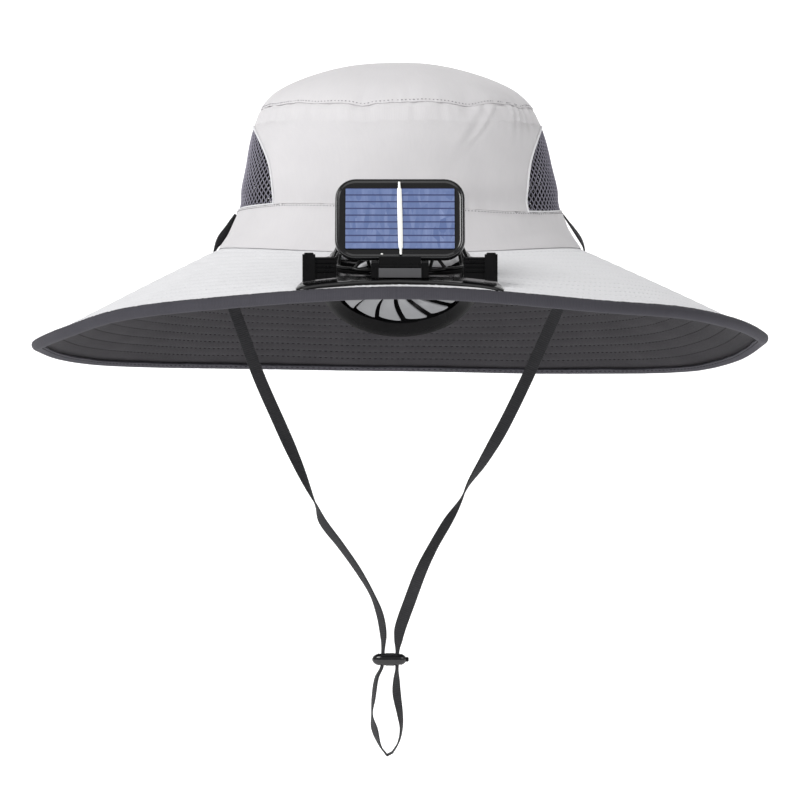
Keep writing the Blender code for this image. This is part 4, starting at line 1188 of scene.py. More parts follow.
def rim_frame(turn):
    """The rim's point with its inward and upward directions."""
    rim = brim_point(turn, 1, brim_wave(turn, 1))
    inward = (brim_point(turn, 0.9, 0) - brim_point(turn, 1, 0)).normalized()
    along = Vector((0, 0, 1)).cross(inward).normalized()
    return rim, inward, inward.cross(along).normalized()


def brim_binding():
    section = binding_section()
    grid = []
    for turn in turns(BINDING_COLUMNS):
        rim, inward, up = rim_frame(turn)
        row = []
        for depth, height in section:
            far = depth / BINDING_WRAP
            pucker = 0.00035 * unevenness(turn * 0.2, height * 0.1, 11.0, 0.005) * far
            edge = 0.0005 * unevenness(turn * 0.2, height, 12.0, 0.02) * far**3
            puff = 0.00025 * math.sin(math.pi * min(1, far)) + pucker
            row.append(rim + inward * (depth + edge) + up * (height + math.copysign(puff, height)))
        grid.append(row)
    work = Workpiece()
    work.rows(grid, ring=True, loop=True)
    return work.finish("brim_binding_tape", binding_cloth, ["brim_binding"], slot="binding_cloth")


def binding_stitches():
    work = Workpiece()
    for side in (1, -1):
        line = []
        outward = []
        for turn in turns(900):
            rim, inward, up = rim_frame(turn)
            height = BRIM_HALF + GAP + BINDING_WALL + 0.0001
            reach = BINDING_WRAP * (BINDING_TOP_SHARE if side > 0 else 1) - 0.0012
            line.append(rim + inward * reach + up * side * height)
            outward.append(up * side)
        sew(work, line, outward, 0.0024, 0.0034, 0.00024, 0.0001)
    return work.finish("binding_stitches", dark_thread, slot="binding_cloth")


brim_binding()
binding_stitches()

# %% [markdown]
# ## The chin strap
#
# The strap is flat woven tape, 6.6 mm wide, that turns on itself as it hangs. Its route and its twist
# follow the same two tables as the solid, except that its ends reach a little higher up the band. The
# section is a flat oval with firmer edges, and the rib of the weave runs across it.

# %% Route of the strap
STRAP_WIDTH = 0.0066
STRAP_THICKNESS = 0.0012
STRAP_GATHERED_WIDTH = 0.0033
STRAP_GATHERED_THICKNESS = 0.0023
STRAP_SPREAD = 0.100
STRAP_DROP = 0.2725

# Drop as a share of STRAP_DROP, side as a share of STRAP_SPREAD, twist in degrees, gathering
STRAP_LEFT_ROWS = (
    (-0.068, -0.884, 80, 0.0),
    (-0.055, -0.904, 70, 0.0),
    (-0.042, -0.924, 60, 0.0),
    (-0.020, -0.967, 58, 0.0),
    (0.000, -0.997, 85, 0.0),
    (0.016, -1.003, 90, 0.0),
    (0.060, -0.968, 60, 0.0),
    (0.120, -0.895, 20, 0.0),
    (0.250, -0.765, 5, 0.0),
    (0.350, -0.645, 0, 0.0),
    (0.420, -0.560, 35, 0.0),
    (0.480, -0.488, 75, 0.0),
    (0.510, -0.450, 100, 0.0),
    (0.541, -0.416, 130, 0.0),
    (0.588, -0.319, 125, 0.0),
    (0.636, -0.227, 120, 0.0),
    (0.684, -0.151, 112, 0.0),
    (0.725, -0.108, 125, 0.1),
    (0.765, -0.090, 125, 0.4),
    (0.798, -0.092, 95, 1.0),
    (0.828, -0.098, 90, 1.0),
    (0.850, -0.126, 105, 0.3),
    (0.890, -0.143, 105, 0.0),
    (0.921, -0.151, 92, 0.0),
    (0.950, -0.138, 120, 0.0),
    (0.985, -0.106, 98, 0.0),
    (1.003, -0.070, 90, 0.0),
)
STRAP_RIGHT_ROWS = (
    (-0.068, 0.880, 85, 0.0),
    (-0.055, 0.906, 82, 0.0),
    (-0.042, 0.932, 75, 0.0),
    (-0.020, 0.972, 72, 0.0),
    (0.000, 0.994, 85, 0.0),
    (0.016, 0.990, 90, 0.0),
    (0.060, 0.940, 60, 0.0),
    (0.120, 0.853, 20, 0.0),
    (0.250, 0.693, 5, 0.0),
    (0.350, 0.560, 0, 0.0),
    (0.420, 0.450, 40, 0.0),
    (0.465, 0.370, 75, 0.0),
    (0.500, 0.325, 100, 0.0),
    (0.541, 0.256, 135, 0.0),
    (0.588, 0.181, 140, 0.0),
    (0.636, 0.116, 160, 0.0),
    (0.700, 0.050, 175, 0.0),
    (0.750, 0.002, 175, 0.1),
    (0.775, -0.009, 150, 0.5),
    (0.798, -0.014, 100, 1.0),
    (0.828, -0.016, 90, 1.0),
    (0.850, -0.019, 60, 0.4),
    (0.880, -0.018, 50, 0.0),
    (0.921, 0.000, 65, 0.0),
    (0.950, 0.007, 80, 0.0),
    (0.977, -0.008, 86, 0.0),
    (0.997, -0.040, 90, 0.0),
)


def strap_route(steps=9):
    """Point, twist and gathering along the strap, from the left seam down and up to the right."""
    sides = []
    for rows in (STRAP_LEFT_ROWS, STRAP_RIGHT_ROWS):
        side = []
        for low, high in zip(rows, rows[1:]):
            for step in range(steps):
                drop = mix(low[0], high[0], step / steps)
                across, twist, gathering = read_table(rows, drop)
                side.append((across, drop, twist, min(max(gathering, 0.0), 1.0)))
        across, twist, gathering = rows[-1][1:]
        side.append((across, rows[-1][0], twist, gathering))
        sides.append(side)
    left, right = sides
    route = left + [(a, d, 180 - t, g) for a, d, t, g in reversed(right)]
    return [(Vector((a * STRAP_SPREAD, 0, -d * STRAP_DROP)), t, g) for a, d, t, g in route]


# %% Weave the strap


def strap_section(count=14):
    """A flat oval with slightly thicker edges, in shares of half the width and half the thickness."""
    section = []
    for turn in turns(count):
        wide = math.copysign(abs(math.cos(turn)) ** 0.55, math.cos(turn))
        thick = math.copysign(abs(math.sin(turn)) ** 0.55, math.sin(turn))
        section.append((wide, thick * (0.82 + 0.18 * wide**4)))
    return section


def chin_strap():
    route = strap_route()
    section = strap_section()
    grid = []
    for place, (point, twist, gathering) in enumerate(route):
        before = route[max(place - 1, 0)][0]
        after = route[min(place + 1, len(route) - 1)][0]
        along = (after - before).normalized()
        across = Vector((0, 1, 0))
        outward = along.cross(across)
        angle = math.radians(twist)
        wide = outward * math.cos(angle) + across * math.sin(angle)
        thick = wide.cross(along)
        half_wide = mix(STRAP_WIDTH, STRAP_GATHERED_WIDTH, gathering) / 2
        half_thick = mix(STRAP_THICKNESS, STRAP_GATHERED_THICKNESS, gathering) / 2
        grid.append([point + wide * a * half_wide + thick * b * half_thick for a, b in section])
    work = Workpiece()
    work.rows(grid, ring=True, ends="face")
    length = run_lengths(np.array([point for point, _, _ in route]))[-1]
    print("strap length", round(float(length), 3), "m")
    return work.finish("chin_strap_tape", strap_cloth, ["chin_strap"], slot="strap")


chin_strap()

# %% [markdown]
# ## The cord lock
#
# A glossy bean of plastic with a hole for each run of the strap. A lathe can't make it, because it is
# longer than it is wide, so it is lofted along its length from rounded sections, and the holes are cut.

# %% The lock and its button
LOCK_SPAN = (-0.0151, 0.0036)
LOCK_DEPTH = 0.0078
LOCK_HEIGHT = 0.0075
# The lock's height, as a share of the strap's drop
LOCK_SHARE = 0.813
LOCK_LEVEL = -LOCK_SHARE * STRAP_DROP
LOCK_HOLE_SIZE = (0.0036, 0.0046, 0.015)
# The hole for the button
DRILL_RADIUS = 0.0016
DRILL_DEPTH = 0.0046


def lock_body():
    left, right = LOCK_SPAN
    middle = (left + right) / 2
    half_span = (right - left) / 2
    grid = []
    for step in range(31):
        share = -math.cos(math.pi * step / 30)
        size = max(0.02, 1 - abs(share) ** 3.2) ** 0.5
        row = []
        for turn in turns(28):
            y = math.copysign(abs(math.cos(turn)) ** 0.85, math.cos(turn)) * LOCK_DEPTH / 2 * size
            z = math.copysign(abs(math.sin(turn)) ** 0.85, math.sin(turn)) * LOCK_HEIGHT / 2 * size
            waist = 1 - 0.05 * bump(share, 0.25)
            row.append((middle + share * half_span, y * waist, LOCK_LEVEL + z * waist))
        grid.append(row)
    work = Workpiece()
    work.rows(grid, ring=True, ends="face")
    return work.finish("cord_lock_shell", panel_gloss, ["cord_lock"], slot="black_plastic", sharp=60)


def fill_lock_holes(made):
    for rows in (STRAP_LEFT_ROWS, STRAP_RIGHT_ROWS):
        across = read_table(rows, LOCK_SHARE)[0] * STRAP_SPREAD
        size = Matrix.Diagonal((*LOCK_HOLE_SIZE, 1.0))
        bmesh.ops.create_cube(made, size=1.0, matrix=Matrix.Translation((across, 0, LOCK_LEVEL)) @ size)
    drill = Matrix.Translation((LOCK_SPAN[1], 0, LOCK_LEVEL)) @ Matrix.Rotation(math.pi / 2, 4, "Y")
    bmesh.ops.create_cone(
        made, cap_ends=True, segments=24, radius1=DRILL_RADIUS, radius2=DRILL_RADIUS, depth=DRILL_DEPTH,
        matrix=drill,
    )


lock = lock_body()
cut = lock.modifiers.new("holes", "BOOLEAN")
cut.operation = "DIFFERENCE"
cut.object = hidden_cutter("lock_cutter", fill_lock_holes)


def lock_button():
    """A short pin with a domed head."""
    low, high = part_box("lock_button")
    profile = [(0.0, 0.0), (0.85, 0.0), (1.0, 0.1), (1.0, 0.72), (0.9, 0.88), (0.6, 0.97), (0.0, 1.0)]
    radius = (high.z - low.z) / 2
    grid = []
    for turn in turns(20):
        row = []
        for out, far in profile:
            row.append((mix(low.x, high.x, far), radius * out * math.cos(turn),
                        LOCK_LEVEL + radius * out * math.sin(turn)))
        grid.append(row)
    work = Workpiece()
    work.rows(grid, loop=True)
    return work.finish("lock_button_pin", black_plastic, ["lock_button"], "button", "black_plastic")


lock_button()

# %% [markdown]
# ## The fan's collar and sleeve
#
# A thin collar lies on the brim and spreads to two wings at the front. Its edge is soft and slightly
# raised. It follows the brim, so its rows are laid on the brim's own height. In front it is a little shorter
# than its solid.

# %% Collar
FLANGE_ROWS = (
    (0, 1.36),
    (22.5, 1.45),
    (37.5, 1.68),
    (45, 1.89),
    (50, 1.76),
    (60, 1.40),
    (75, 1.319),
    (90, 1.278),
    (120, 1.194),
    (150, 1.111),
    (180, 1.089),
)
# Share of the way out, thickness in metres
COLLAR_ROWS = (
    (0.0, 0.0018),
    (0.5, 0.0018),
    (0.75, 0.0017),
    (0.86, 0.0018),
    (0.93, 0.0015),
    (0.98, 0.0009),
    (1.0, 0.0004),
)


def fan_point(turn, radius):
    return radius * math.sin(turn), FAN_CENTRE.y - radius * math.cos(turn)


def fan_collar():
    grid = []
    for turn in turns(150):
        degrees = abs((math.degrees(turn) + 180) % 360 - 180)
        edge = BRIM_HOLE_RADIUS * read_table(FLANGE_ROWS, degrees)[0]
        upper = []
        lower = []
        for share, thickness in COLLAR_ROWS:
            x, y = fan_point(turn, mix(BRIM_HOLE_RADIUS + GAP, edge, share))
            seat = brim_level(x, y) + BRIM_HALF + GAP
            upper.append((x, y, seat + thickness))
            lower.append((x, y, seat))
        grid.append(upper + lower[::-1])
    work = Workpiece()
    work.rows(grid, ring=True, loop=True)
    return work.finish("fan_flange_shell", black_gloss, ["fan_flange"], slot="black_plastic", sharp=50)


fan_collar()

# %% [markdown]
# ## Sleeve, motor and rotor
#
# The sleeve carries three arms with the motor in the middle. The rotor has seven wide blades, pitched and
# swept, each a thin rounded section that turns as it goes outward.

# %% Sleeve and arms
FLANGE_THICKNESS = 0.0018
FAN_DECK = BRIM_HALF + GAP + FLANGE_THICKNESS
SLEEVE_WALL = 0.0025
SPIDER_THICKNESS = 0.0025


def in_fan_space(points):
    """Moves points from the fan's own frame into the hat's."""
    grid = np.asarray(points, dtype=float)
    turned = grid @ np.array(fan_space.to_3x3()).T
    return turned + np.array(fan_space.translation)


def fan_housing():
    outer = BRIM_HOLE_RADIUS - GAP
    inner = outer - SLEEVE_WALL
    low = -BRIM_HALF
    edge = 0.0005
    profile = (
        (inner + edge, low), (outer, low), (outer, FAN_DECK - edge), (outer - edge, FAN_DECK),
        (inner + edge, FAN_DECK), (inner, FAN_DECK - edge), (inner, low + edge),
    )
    work = Workpiece()
    sleeve = [[(r * math.sin(t), -r * math.cos(t), z) for r, z in profile] for t in turns(96)]
    work.rows(in_fan_space(sleeve), ring=True, loop=True)
    hub = [(0.0016, low), (0.009, low), (0.009, low + SPIDER_THICKNESS), (0.0016, low + SPIDER_THICKNESS)]
    ring = [[(r * math.sin(t), -r * math.cos(t), z) for r, z in hub] for t in turns(40)]
    work.rows(in_fan_space(ring), ring=True, loop=True)
    for turn in turns(3):
        arm = []
        for share in shares(8):
            reach = mix(0.0085, inner + 0.0005, share)
            angle = turn + 0.10 * math.sin(math.pi * share)
            out = Vector((math.sin(angle), -math.cos(angle), 0))
            side = Vector((out.y, -out.x, 0)) * 0.0021
            up = Vector((0, 0, low + SPIDER_THICKNESS - 0.0002))
            down = Vector((0, 0, low + 0.0002))
            arm.append([out * reach + side + up, out * reach - side + up,
                        out * reach - side + down, out * reach + side + down])
        work.rows(in_fan_space(arm), ring=True, ends="face")
    return work.finish("fan_housing_frame", black_plastic, ["fan_housing"], slot="black_plastic")


fan_housing()

# %% Motor
MOTOR_HEIGHT = 0.008
MOTOR_RADIUS = 0.008
# How far the motor's shaft stands above the spider
SHAFT_RISE = 0.004


def fan_motor():
    top = -BRIM_HALF - GAP
    low = top - MOTOR_HEIGHT
    shaft = BRIM_HALF + SPIDER_THICKNESS + SHAFT_RISE
    profile = (
        (0.0, low), (0.0022, low), (0.0026, low + 0.0002), (0.0066, low + 0.0002),
        (0.0076, low + 0.0005), (MOTOR_RADIUS, low + 0.0013), (MOTOR_RADIUS, low + 0.0058),
        (MOTOR_RADIUS - 0.0003, low + 0.0061), (MOTOR_RADIUS, low + 0.0064), (MOTOR_RADIUS - 0.0003, top),
        (0.0011, top), (0.0011, shaft - 0.0003), (0.0008, shaft), (0.0, shaft),
    )
    work = Workpiece()
    grid = [[(r * math.sin(t), -r * math.cos(t), z) for r, z in profile] for t in turns(48)]
    work.rows(in_fan_space(grid), loop=True)
    return work.finish("fan_motor_can", motor_metal, ["fan_motor"], slot="dark_metal")


fan_motor()

# %% Rotor
ROTOR_BLADES = 7
ROTOR_RADIUS = 0.030
ROTOR_HUB_RADIUS = 0.009
ROTOR_HUB_HEIGHT = 0.008
ROTOR_SEAT = -BRIM_HALF + SPIDER_THICKNESS + GAP


def blade_row(turn, share):
    """One section of a blade: a thin lens, pitched, that moves back as it goes out."""
    radius = mix(ROTOR_HUB_RADIUS - 0.0008, ROTOR_RADIUS, share)
    middle = turn + 0.35 * share**2
    tip = max(0.12, min(1.0, (1 - share) * 9) ** 0.5)
    half_chord = mix(0.0032, 0.0068, share) * tip
    half_rise = mix(0.0026, 0.0020, share) * tip
    row = []
    for angle in turns(14):
        along = math.cos(angle)
        camber = 0.0006 * (1 - along**2)
        thick = 0.00055 * math.sin(angle) * (1.0 - 0.4 * along)
        at = middle + along * half_chord / radius
        height = ROTOR_SEAT + ROTOR_HUB_HEIGHT / 2 + along * half_rise + camber + thick
        row.append((radius * math.sin(at), -radius * math.cos(at), height))
    return row


def fan_rotor():
    top = ROTOR_SEAT + ROTOR_HUB_HEIGHT
    bore = 0.0014
    pocket = BRIM_HALF + SPIDER_THICKNESS + SHAFT_RISE + GAP
    profile = (
        (0.0, pocket), (bore, pocket), (bore, ROTOR_SEAT), (ROTOR_HUB_RADIUS, ROTOR_SEAT),
        (ROTOR_HUB_RADIUS, top - 0.0018), (ROTOR_HUB_RADIUS - 0.0005, top - 0.0007),
        (ROTOR_HUB_RADIUS - 0.0016, top - 0.0001), (0.004, top), (0.0036, top - 0.0004),
        (0.0, top - 0.0004),
    )
    work = Workpiece()
    hub = [[(r * math.sin(t), -r * math.cos(t), z) for r, z in profile] for t in turns(48)]
    work.rows(in_fan_space(hub), loop=True)
    for turn in turns(ROTOR_BLADES):
        blade = [blade_row(turn, share) for share in shares(16)]
        work.rows(in_fan_space(blade), ring=True, ends="face")
    # The rotor takes the near-white plastic, a painted highlight over its real grey.
    return work.finish("fan_rotor_wheel", rotor_painted_highlight_plastic, ["fan_rotor"], "rotor", "grey_plastic")


fan_rotor()

# %% [markdown]
# ## The guard
#
# An open cage keeps fingers from the rotor. It is a square-shouldered dome of thin ribs that rise from a
# foot ring, and every rib forks into two feet. Each rib is a tube laid on the same dome as the solid.

# %% Ribs of the guard
GUARD_HALF = 0.0345
GUARD_TOP_HALF = 0.029
GUARD_HEIGHT = 0.015
GUARD_SQUARENESS = 3.0
GUARD_RIBS = 12
RIB_RADIUS = 0.00085


def guard_point(turn, reach):
    corner = abs(math.sin(turn)) ** GUARD_SQUARENESS + abs(math.cos(turn)) ** GUARD_SQUARENESS
    square = corner ** (-1 / GUARD_SQUARENESS)
    shoulder = GUARD_TOP_HALF / GUARD_HALF
    if reach > shoulder:
        share = (reach - shoulder) / (1 - shoulder)
        half = mix(GUARD_TOP_HALF, GUARD_HALF, share)
        height = GUARD_HEIGHT * 0.8 * (1 - share)
    else:
        share = reach / shoulder
        half = GUARD_TOP_HALF * share
        height = GUARD_HEIGHT * (1 - 0.2 * share**3)
    radius = half * square - RIB_RADIUS
    level = FAN_DECK + GAP + height - RIB_RADIUS
    return radius * math.sin(turn), -radius * math.cos(turn), max(level, FAN_DECK + GAP + RIB_RADIUS)


def guard_bar(work, ends, steps=14, radius=RIB_RADIUS):
    """A tube over the dome from one (turn, reach) to another."""
    (turn_low, reach_low), (turn_high, reach_high) = ends
    line = []
    for share in shares(steps):
        line.append(guard_point(mix(turn_low, turn_high, share), mix(reach_low, reach_high, share)))
    tube(work, in_fan_space(line), radius, sides=8, up=(0.03, -0.3, 1))


def fan_guard():
    work = Workpiece()
    sector = math.tau / GUARD_RIBS
    for rib in range(GUARD_RIBS):
        turn = rib * sector
        guard_bar(work, ((turn, 0.22), (turn, 0.885)), 24)
        for side in (-1, 1):
            guard_bar(work, ((turn, 0.88), (turn + side * 0.26 * sector, 0.995)), 8)
            guard_bar(work, ((turn, 0.86), (turn + side * 0.5 * sector, 0.845)), 8, RIB_RADIUS * 0.9)
    foot = [guard_point(turn, 1.0) for turn in turns(120)]
    tube(work, in_fan_space(foot), RIB_RADIUS * 1.1, loop=True, up=FAN_AXIS)
    top = FAN_DECK + GAP + GUARD_HEIGHT
    profile = ((0.0, top), (0.0070, top - 0.0001), (0.0084, top - 0.0006), (0.0084, top - 0.0015),
               (0.0070, top - 0.0017), (0.0, top - 0.0017))
    cap = [[(r * math.sin(t), -r * math.cos(t), z) for r, z in profile] for t in turns(48)]
    work.rows(in_fan_space(cap), loop=True)
    return work.finish("fan_guard_cage", black_gloss, ["fan_guard"], slot="black_plastic", sharp=60)


fan_guard()

# %% [markdown]
# ## The scoop and its fins
#
# Under the brim a rounded scoop turns the air back towards the face. Its mouth is filled by a fixed wheel
# of broad pale fins with dark slits between them. Scoop and fins share one curve, the lip, so they meet.

# %% Scoop
DUCT_RADIUS = 0.0385
DUCT_WALL = 0.0023
LIP_HALF_WIDTH = 0.0375
LIP_HALF_LENGTH = 0.034
LIP_DROP = 0.0126
LIP_DIP = 0.020
LIP_INNER_HALF_WIDTH = 0.031
LIP_INNER_HALF_LENGTH = 0.029
LIP_INNER_DROP = 0.0119
LIP_INNER_DIP = 0.0137


def lip_backness(turn):
    return max(0.0, -math.cos(turn)) ** 1.2


def lip_point(turn, inner):
    backness = lip_backness(turn)
    if inner:
        half_width, half_length = LIP_INNER_HALF_WIDTH, LIP_INNER_HALF_LENGTH
        z = FAN_CENTRE.z - LIP_INNER_DROP - LIP_INNER_DIP * backness
    else:
        half_width, half_length = LIP_HALF_WIDTH, LIP_HALF_LENGTH
        z = FAN_CENTRE.z - LIP_DROP - LIP_DIP * backness
    return Vector((half_width * math.sin(turn), FAN_CENTRE.y - half_length * math.cos(turn), z))


def duct_side(turn, radius, end, steps):
    x, y = fan_point(turn, radius)
    start = Vector((x, y, brim_level(x, y) - BRIM_HALF - GAP))
    side = []
    for share in shares(steps):
        reach = share**3
        level = mix(start.z, end.z, share)
        side.append(Vector((mix(start.x, end.x, reach), mix(start.y, end.y, reach), level)))
    return side


def fan_duct():
    grid = []
    for turn in turns(140):
        outer_end = lip_point(turn, False)
        inner_end = lip_point(turn, True)
        outer = duct_side(turn, DUCT_RADIUS, outer_end, 18)
        inner = duct_side(turn, DUCT_RADIUS - DUCT_WALL, inner_end, 18)
        face = []
        for share in shares(9)[1:-1]:
            roll = 0.0011 * math.sin(math.pi * share)
            face.append(outer_end.lerp(inner_end, share) + Vector((0, 0, -roll)))
        grid.append(outer + face + inner[::-1])
    work = Workpiece()
    work.rows(grid, ring=True, loop=True)
    return work.finish("fan_duct_scoop", scoop_gloss, ["fan_duct"], slot="black_plastic", sharp=60)


fan_duct()

# %% Fins
FIN_COUNT = 14
FIN_HUB_RADIUS = 0.010
FIN_THICKNESS = 0.0012
FIN_SWIRL = 0.28
FIN_LEVEL = FAN_CENTRE.z - LIP_DROP


def fin_point(turn, share, along, up):
    """A point of a fin: along runs across its width from -1 to 1, up through its thickness."""
    pitch = math.tau / FIN_COUNT
    angle = turn - FIN_SWIRL * share + along * pitch * mix(0.34, 0.41, share)
    rim = lip_point(angle, True) - Vector((0, FAN_CENTRE.y, 0))
    rim.z += FIN_THICKNESS / 2 + 2 * GAP + 0.0006
    shrink = 1 - 4 * GAP / LIP_INNER_HALF_WIDTH
    start = Vector((math.sin(angle), -math.cos(angle), 0)) * (FIN_HUB_RADIUS - 0.001)
    start.z = FIN_LEVEL
    point = start.lerp(Vector((rim.x * shrink, rim.y * shrink, rim.z)), share)
    dish = 0.0008 * math.sin(math.pi * share)
    edge = 1 - 0.55 * abs(along) ** 6
    point.z += dish + up * FIN_THICKNESS / 2 * edge + along * 0.0005
    return Vector((point.x, point.y + FAN_CENTRE.y, point.z))


def outlet_fins():
    work = Workpiece()
    for turn in turns(FIN_COUNT):
        grid = []
        for share in shares(12):
            top = [fin_point(turn, share, along, 1) for along in shares(9, -1.0, 1.0)]
            under = [fin_point(turn, share, along, -1) for along in shares(9, 1.0, -1.0)]
            grid.append(top + under)
        work.rows(grid, ring=True, ends="strip")
    low = FIN_LEVEL - 0.0020
    high = FIN_LEVEL + FIN_THICKNESS
    profile = ((0.0, low), (0.0045, low), (0.0070, low + 0.0002), (0.0092, low + 0.0007),
               (FIN_HUB_RADIUS, low + 0.0014), (FIN_HUB_RADIUS, high), (0.0, high))
    hub = [[(r * math.sin(t), FAN_CENTRE.y - r * math.cos(t), z) for r, z in profile] for t in turns(48)]
    work.rows(hub, loop=True)
    return work.finish("outlet_fin_wheel", grey_plastic, ["outlet_fins"], slot="grey_plastic", sharp=45)


outlet_fins()

# %% [markdown]
# ## Brackets
#
# Small moulded brackets stand on the collar: a post with a ribbed wall at each side of the guard, and two
# ears in the middle that hold the panel's pin. The solids already have their shape, so they stay and get a
# bevel, because no moulded edge is quite sharp. The ribs and the lugs on the posts are added.

# %% Bevelled brackets


def dress_solid(name, finish, width):
    """Keeps a CAD solid, with its own finish and softly rounded edges."""
    solid = frame["nodes"][name]
    solid.data.materials.clear()
    solid.data.materials.append(finish)
    soften = solid.modifiers.new("moulded_edges", "BEVEL")
    soften.width = width
    soften.segments = 2
    soften.limit_method = "ANGLE"
    soften.angle_limit = math.radians(50)
    print(name, "keeps its solid")


for bracket in ("side_bracket_left", "side_bracket_right", "panel_bracket"):
    dress_solid(bracket, black_plastic, 0.0003)
dress_solid("bracket_cover", cover_plastic, 0.0002)


def small_block(work, low, high, edge=0.0003):
    """A box with cut corners, as a stack of rings."""
    x0, y0, z0 = low
    x1, y1, z1 = high
    rings = []
    for z, inset in ((z0, edge), (z0 + edge, 0), (z1 - edge, 0), (z1, edge)):
        a, b, c, d = x0 + inset, x1 - inset, y0 + inset, y1 - inset
        rings.append([(a, c + edge, z), (a + edge, c, z), (b - edge, c, z), (b, c + edge, z),
                      (b, d - edge, z), (b - edge, d, z), (a + edge, d, z), (a, d - edge, z)])
    work.rows(rings, ring=True, ends="face")


# How far the posts, the ribs and the lugs reach from the middle
POST_INNER = 0.040
WALL_RIB_INNER = 0.0305
LUG_SPAN = (0.0408, 0.0452)


def bracket_ribs():
    """Level ribs on the low wall of each side bracket and a lug on top of each post."""
    work = Workpiece()
    for side in (1, -1):
        name = "side_bracket_right" if side > 0 else "side_bracket_left"
        low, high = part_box(name)
        wall_outer_y = low.y + 0.0012
        for level in shares(4, low.z + 0.0045, high.z - 0.0024):
            span = sorted((side * WALL_RIB_INNER, side * POST_INNER))
            lower = (span[0], wall_outer_y - 0.0007, level)
            upper = (span[1], wall_outer_y + 0.0004, level + 0.0009)
            small_block(work, lower, upper)
        span = sorted(side * reach for reach in LUG_SPAN)
        lower = (span[0], low.y + 0.0006, high.z - 0.0004)
        upper = (span[1], high.y - 0.0006, high.z + 0.0008)
        small_block(work, lower, upper)
    return work.finish("bracket_ribs", black_plastic, slot="black_plastic")


bracket_ribs()

# %% [markdown]
# ## The solar panel
#
# The panel is a dark tray with rounded corners, filled with clear resin over a blue cell. Its raised rim
# catches a thin bright line of light. The tray is a stack of rounded outlines in the panel's own frame,
# which leans back from the hinge that the joint gives.

# %% Panel tray
HINGE = Vector(joints["panel_tilt"]["pos_m"])
PANEL_LEAN = math.radians(15)
PANEL_WIDTH = 0.0615
PANEL_HEIGHT = 0.040
PANEL_THICKNESS = 0.0055
PANEL_CORNER = 0.0098
PANEL_FORWARD = 0.0015
EAR_RADIUS = 0.0023
PANEL_MIDDLE = EAR_RADIUS + 2 * GAP + PANEL_HEIGHT / 2
CELL_WIDTH = 0.0515
CELL_HEIGHT = 0.0300
CELL_RECESS = 0.0011
panel_space = Matrix.Translation(HINGE) @ Matrix.Rotation(math.pi / 2 - PANEL_LEAN, 4, "X")


def in_panel_space(points):
    grid = np.asarray(points, dtype=float)
    return grid @ np.array(panel_space.to_3x3()).T + np.array(panel_space.translation)


def rounded_outline(width, height, corner, z, steps=10):
    points = []
    for quarter in range(4):
        side_x = (1, -1, -1, 1)[quarter]
        side_y = (1, 1, -1, -1)[quarter]
        for step in range(steps):
            angle = math.pi / 2 * (quarter + step / (steps - 1))
            x = side_x * (width / 2 - corner) + corner * math.cos(angle)
            y = side_y * (height / 2 - corner) + corner * math.sin(angle)
            points.append((x, PANEL_MIDDLE + y, z))
    return points


def panel_frame():
    front = PANEL_FORWARD
    back = front - PANEL_THICKNESS
    floor = front - CELL_RECESS
    # Inset from the panel's edge, height
    rows = (
        (0.0030, back), (0.0014, back + 0.0004), (0.0005, back + 0.0012), (0.0, back + 0.0024),
        (0.0, front - 0.0012), (0.0002, front - 0.0006), (0.0006, front - 0.0001), (0.0011, front),
        (0.0015, front - 0.0002), (0.0019, front - 0.0006), (0.0026, front - 0.0008),
        (0.0042, front - 0.0008),
    )
    stack = []
    for inset, height in rows:
        corner = max(PANEL_CORNER - inset, 0.001)
        stack.append(rounded_outline(PANEL_WIDTH - 2 * inset, PANEL_HEIGHT - 2 * inset, corner, height))
    window_width = CELL_WIDTH + 2 * GAP
    window_height = CELL_HEIGHT + 2 * GAP
    stack.append(rounded_outline(window_width, window_height, 0.0012, front - 0.0008))
    stack.append(rounded_outline(window_width, window_height, 0.0012, floor))
    work = Workpiece()
    work.rows(in_panel_space(stack), ring=True, ends="face")
    lug_half = 0.0099
    lug_radius = EAR_RADIUS - 0.0002
    lug = []
    for x in shares(3, -lug_half, lug_half):
        ring = [(x, EAR_RADIUS + 0.0015, -lug_radius), (x, EAR_RADIUS + 0.0015, EAR_RADIUS - 0.0008)]
        for step in range(13):
            angle = -0.2 + (math.pi + 0.2) * step / 12
            ring.append((x, -lug_radius * math.sin(angle), lug_radius * math.cos(angle)))
        lug.append(ring)
    return work, lug


tray, knuckle = panel_frame()
tray.finish("panel_frame_tray", panel_gloss, ["panel_frame"], "panel", "black_plastic", sharp=50)

# %% [markdown]
# ## Knuckle, cell and busbar
#
# The knuckle below the tray turns on the bracket's pin. It is its own mesh here, with the pin's bore cut
# through it. The cell keeps its solid and takes the blue finish. The soldered bar is a strip that narrows
# to a tail at both ends, with a drop of solder beside it.

# %% Knuckle


def fill_bore(made):
    across = Matrix.Translation(HINGE) @ Matrix.Rotation(math.pi / 2, 4, "Y")
    bmesh.ops.create_cone(made, cap_ends=True, segments=24, radius1=0.0013, radius2=0.0013, depth=0.04,
                          matrix=across)


knuckle_work = Workpiece()
knuckle_work.rows(in_panel_space(knuckle), ring=True, ends="face")
knuckle_piece = knuckle_work.finish("panel_knuckle", black_plastic, (), "panel", "black_plastic")
cut = knuckle_piece.modifiers.new("bore", "BOOLEAN")
cut.operation = "DIFFERENCE"
cut.object = hidden_cutter("bore_cutter", fill_bore)
frame["nodes"]["solar_cell"].data.materials.clear()
frame["nodes"]["solar_cell"].data.materials.append(solar_blue)

# %% Busbar
BUSBAR_HEIGHT = 0.0290
BUSBAR_TAIL = 0.0036


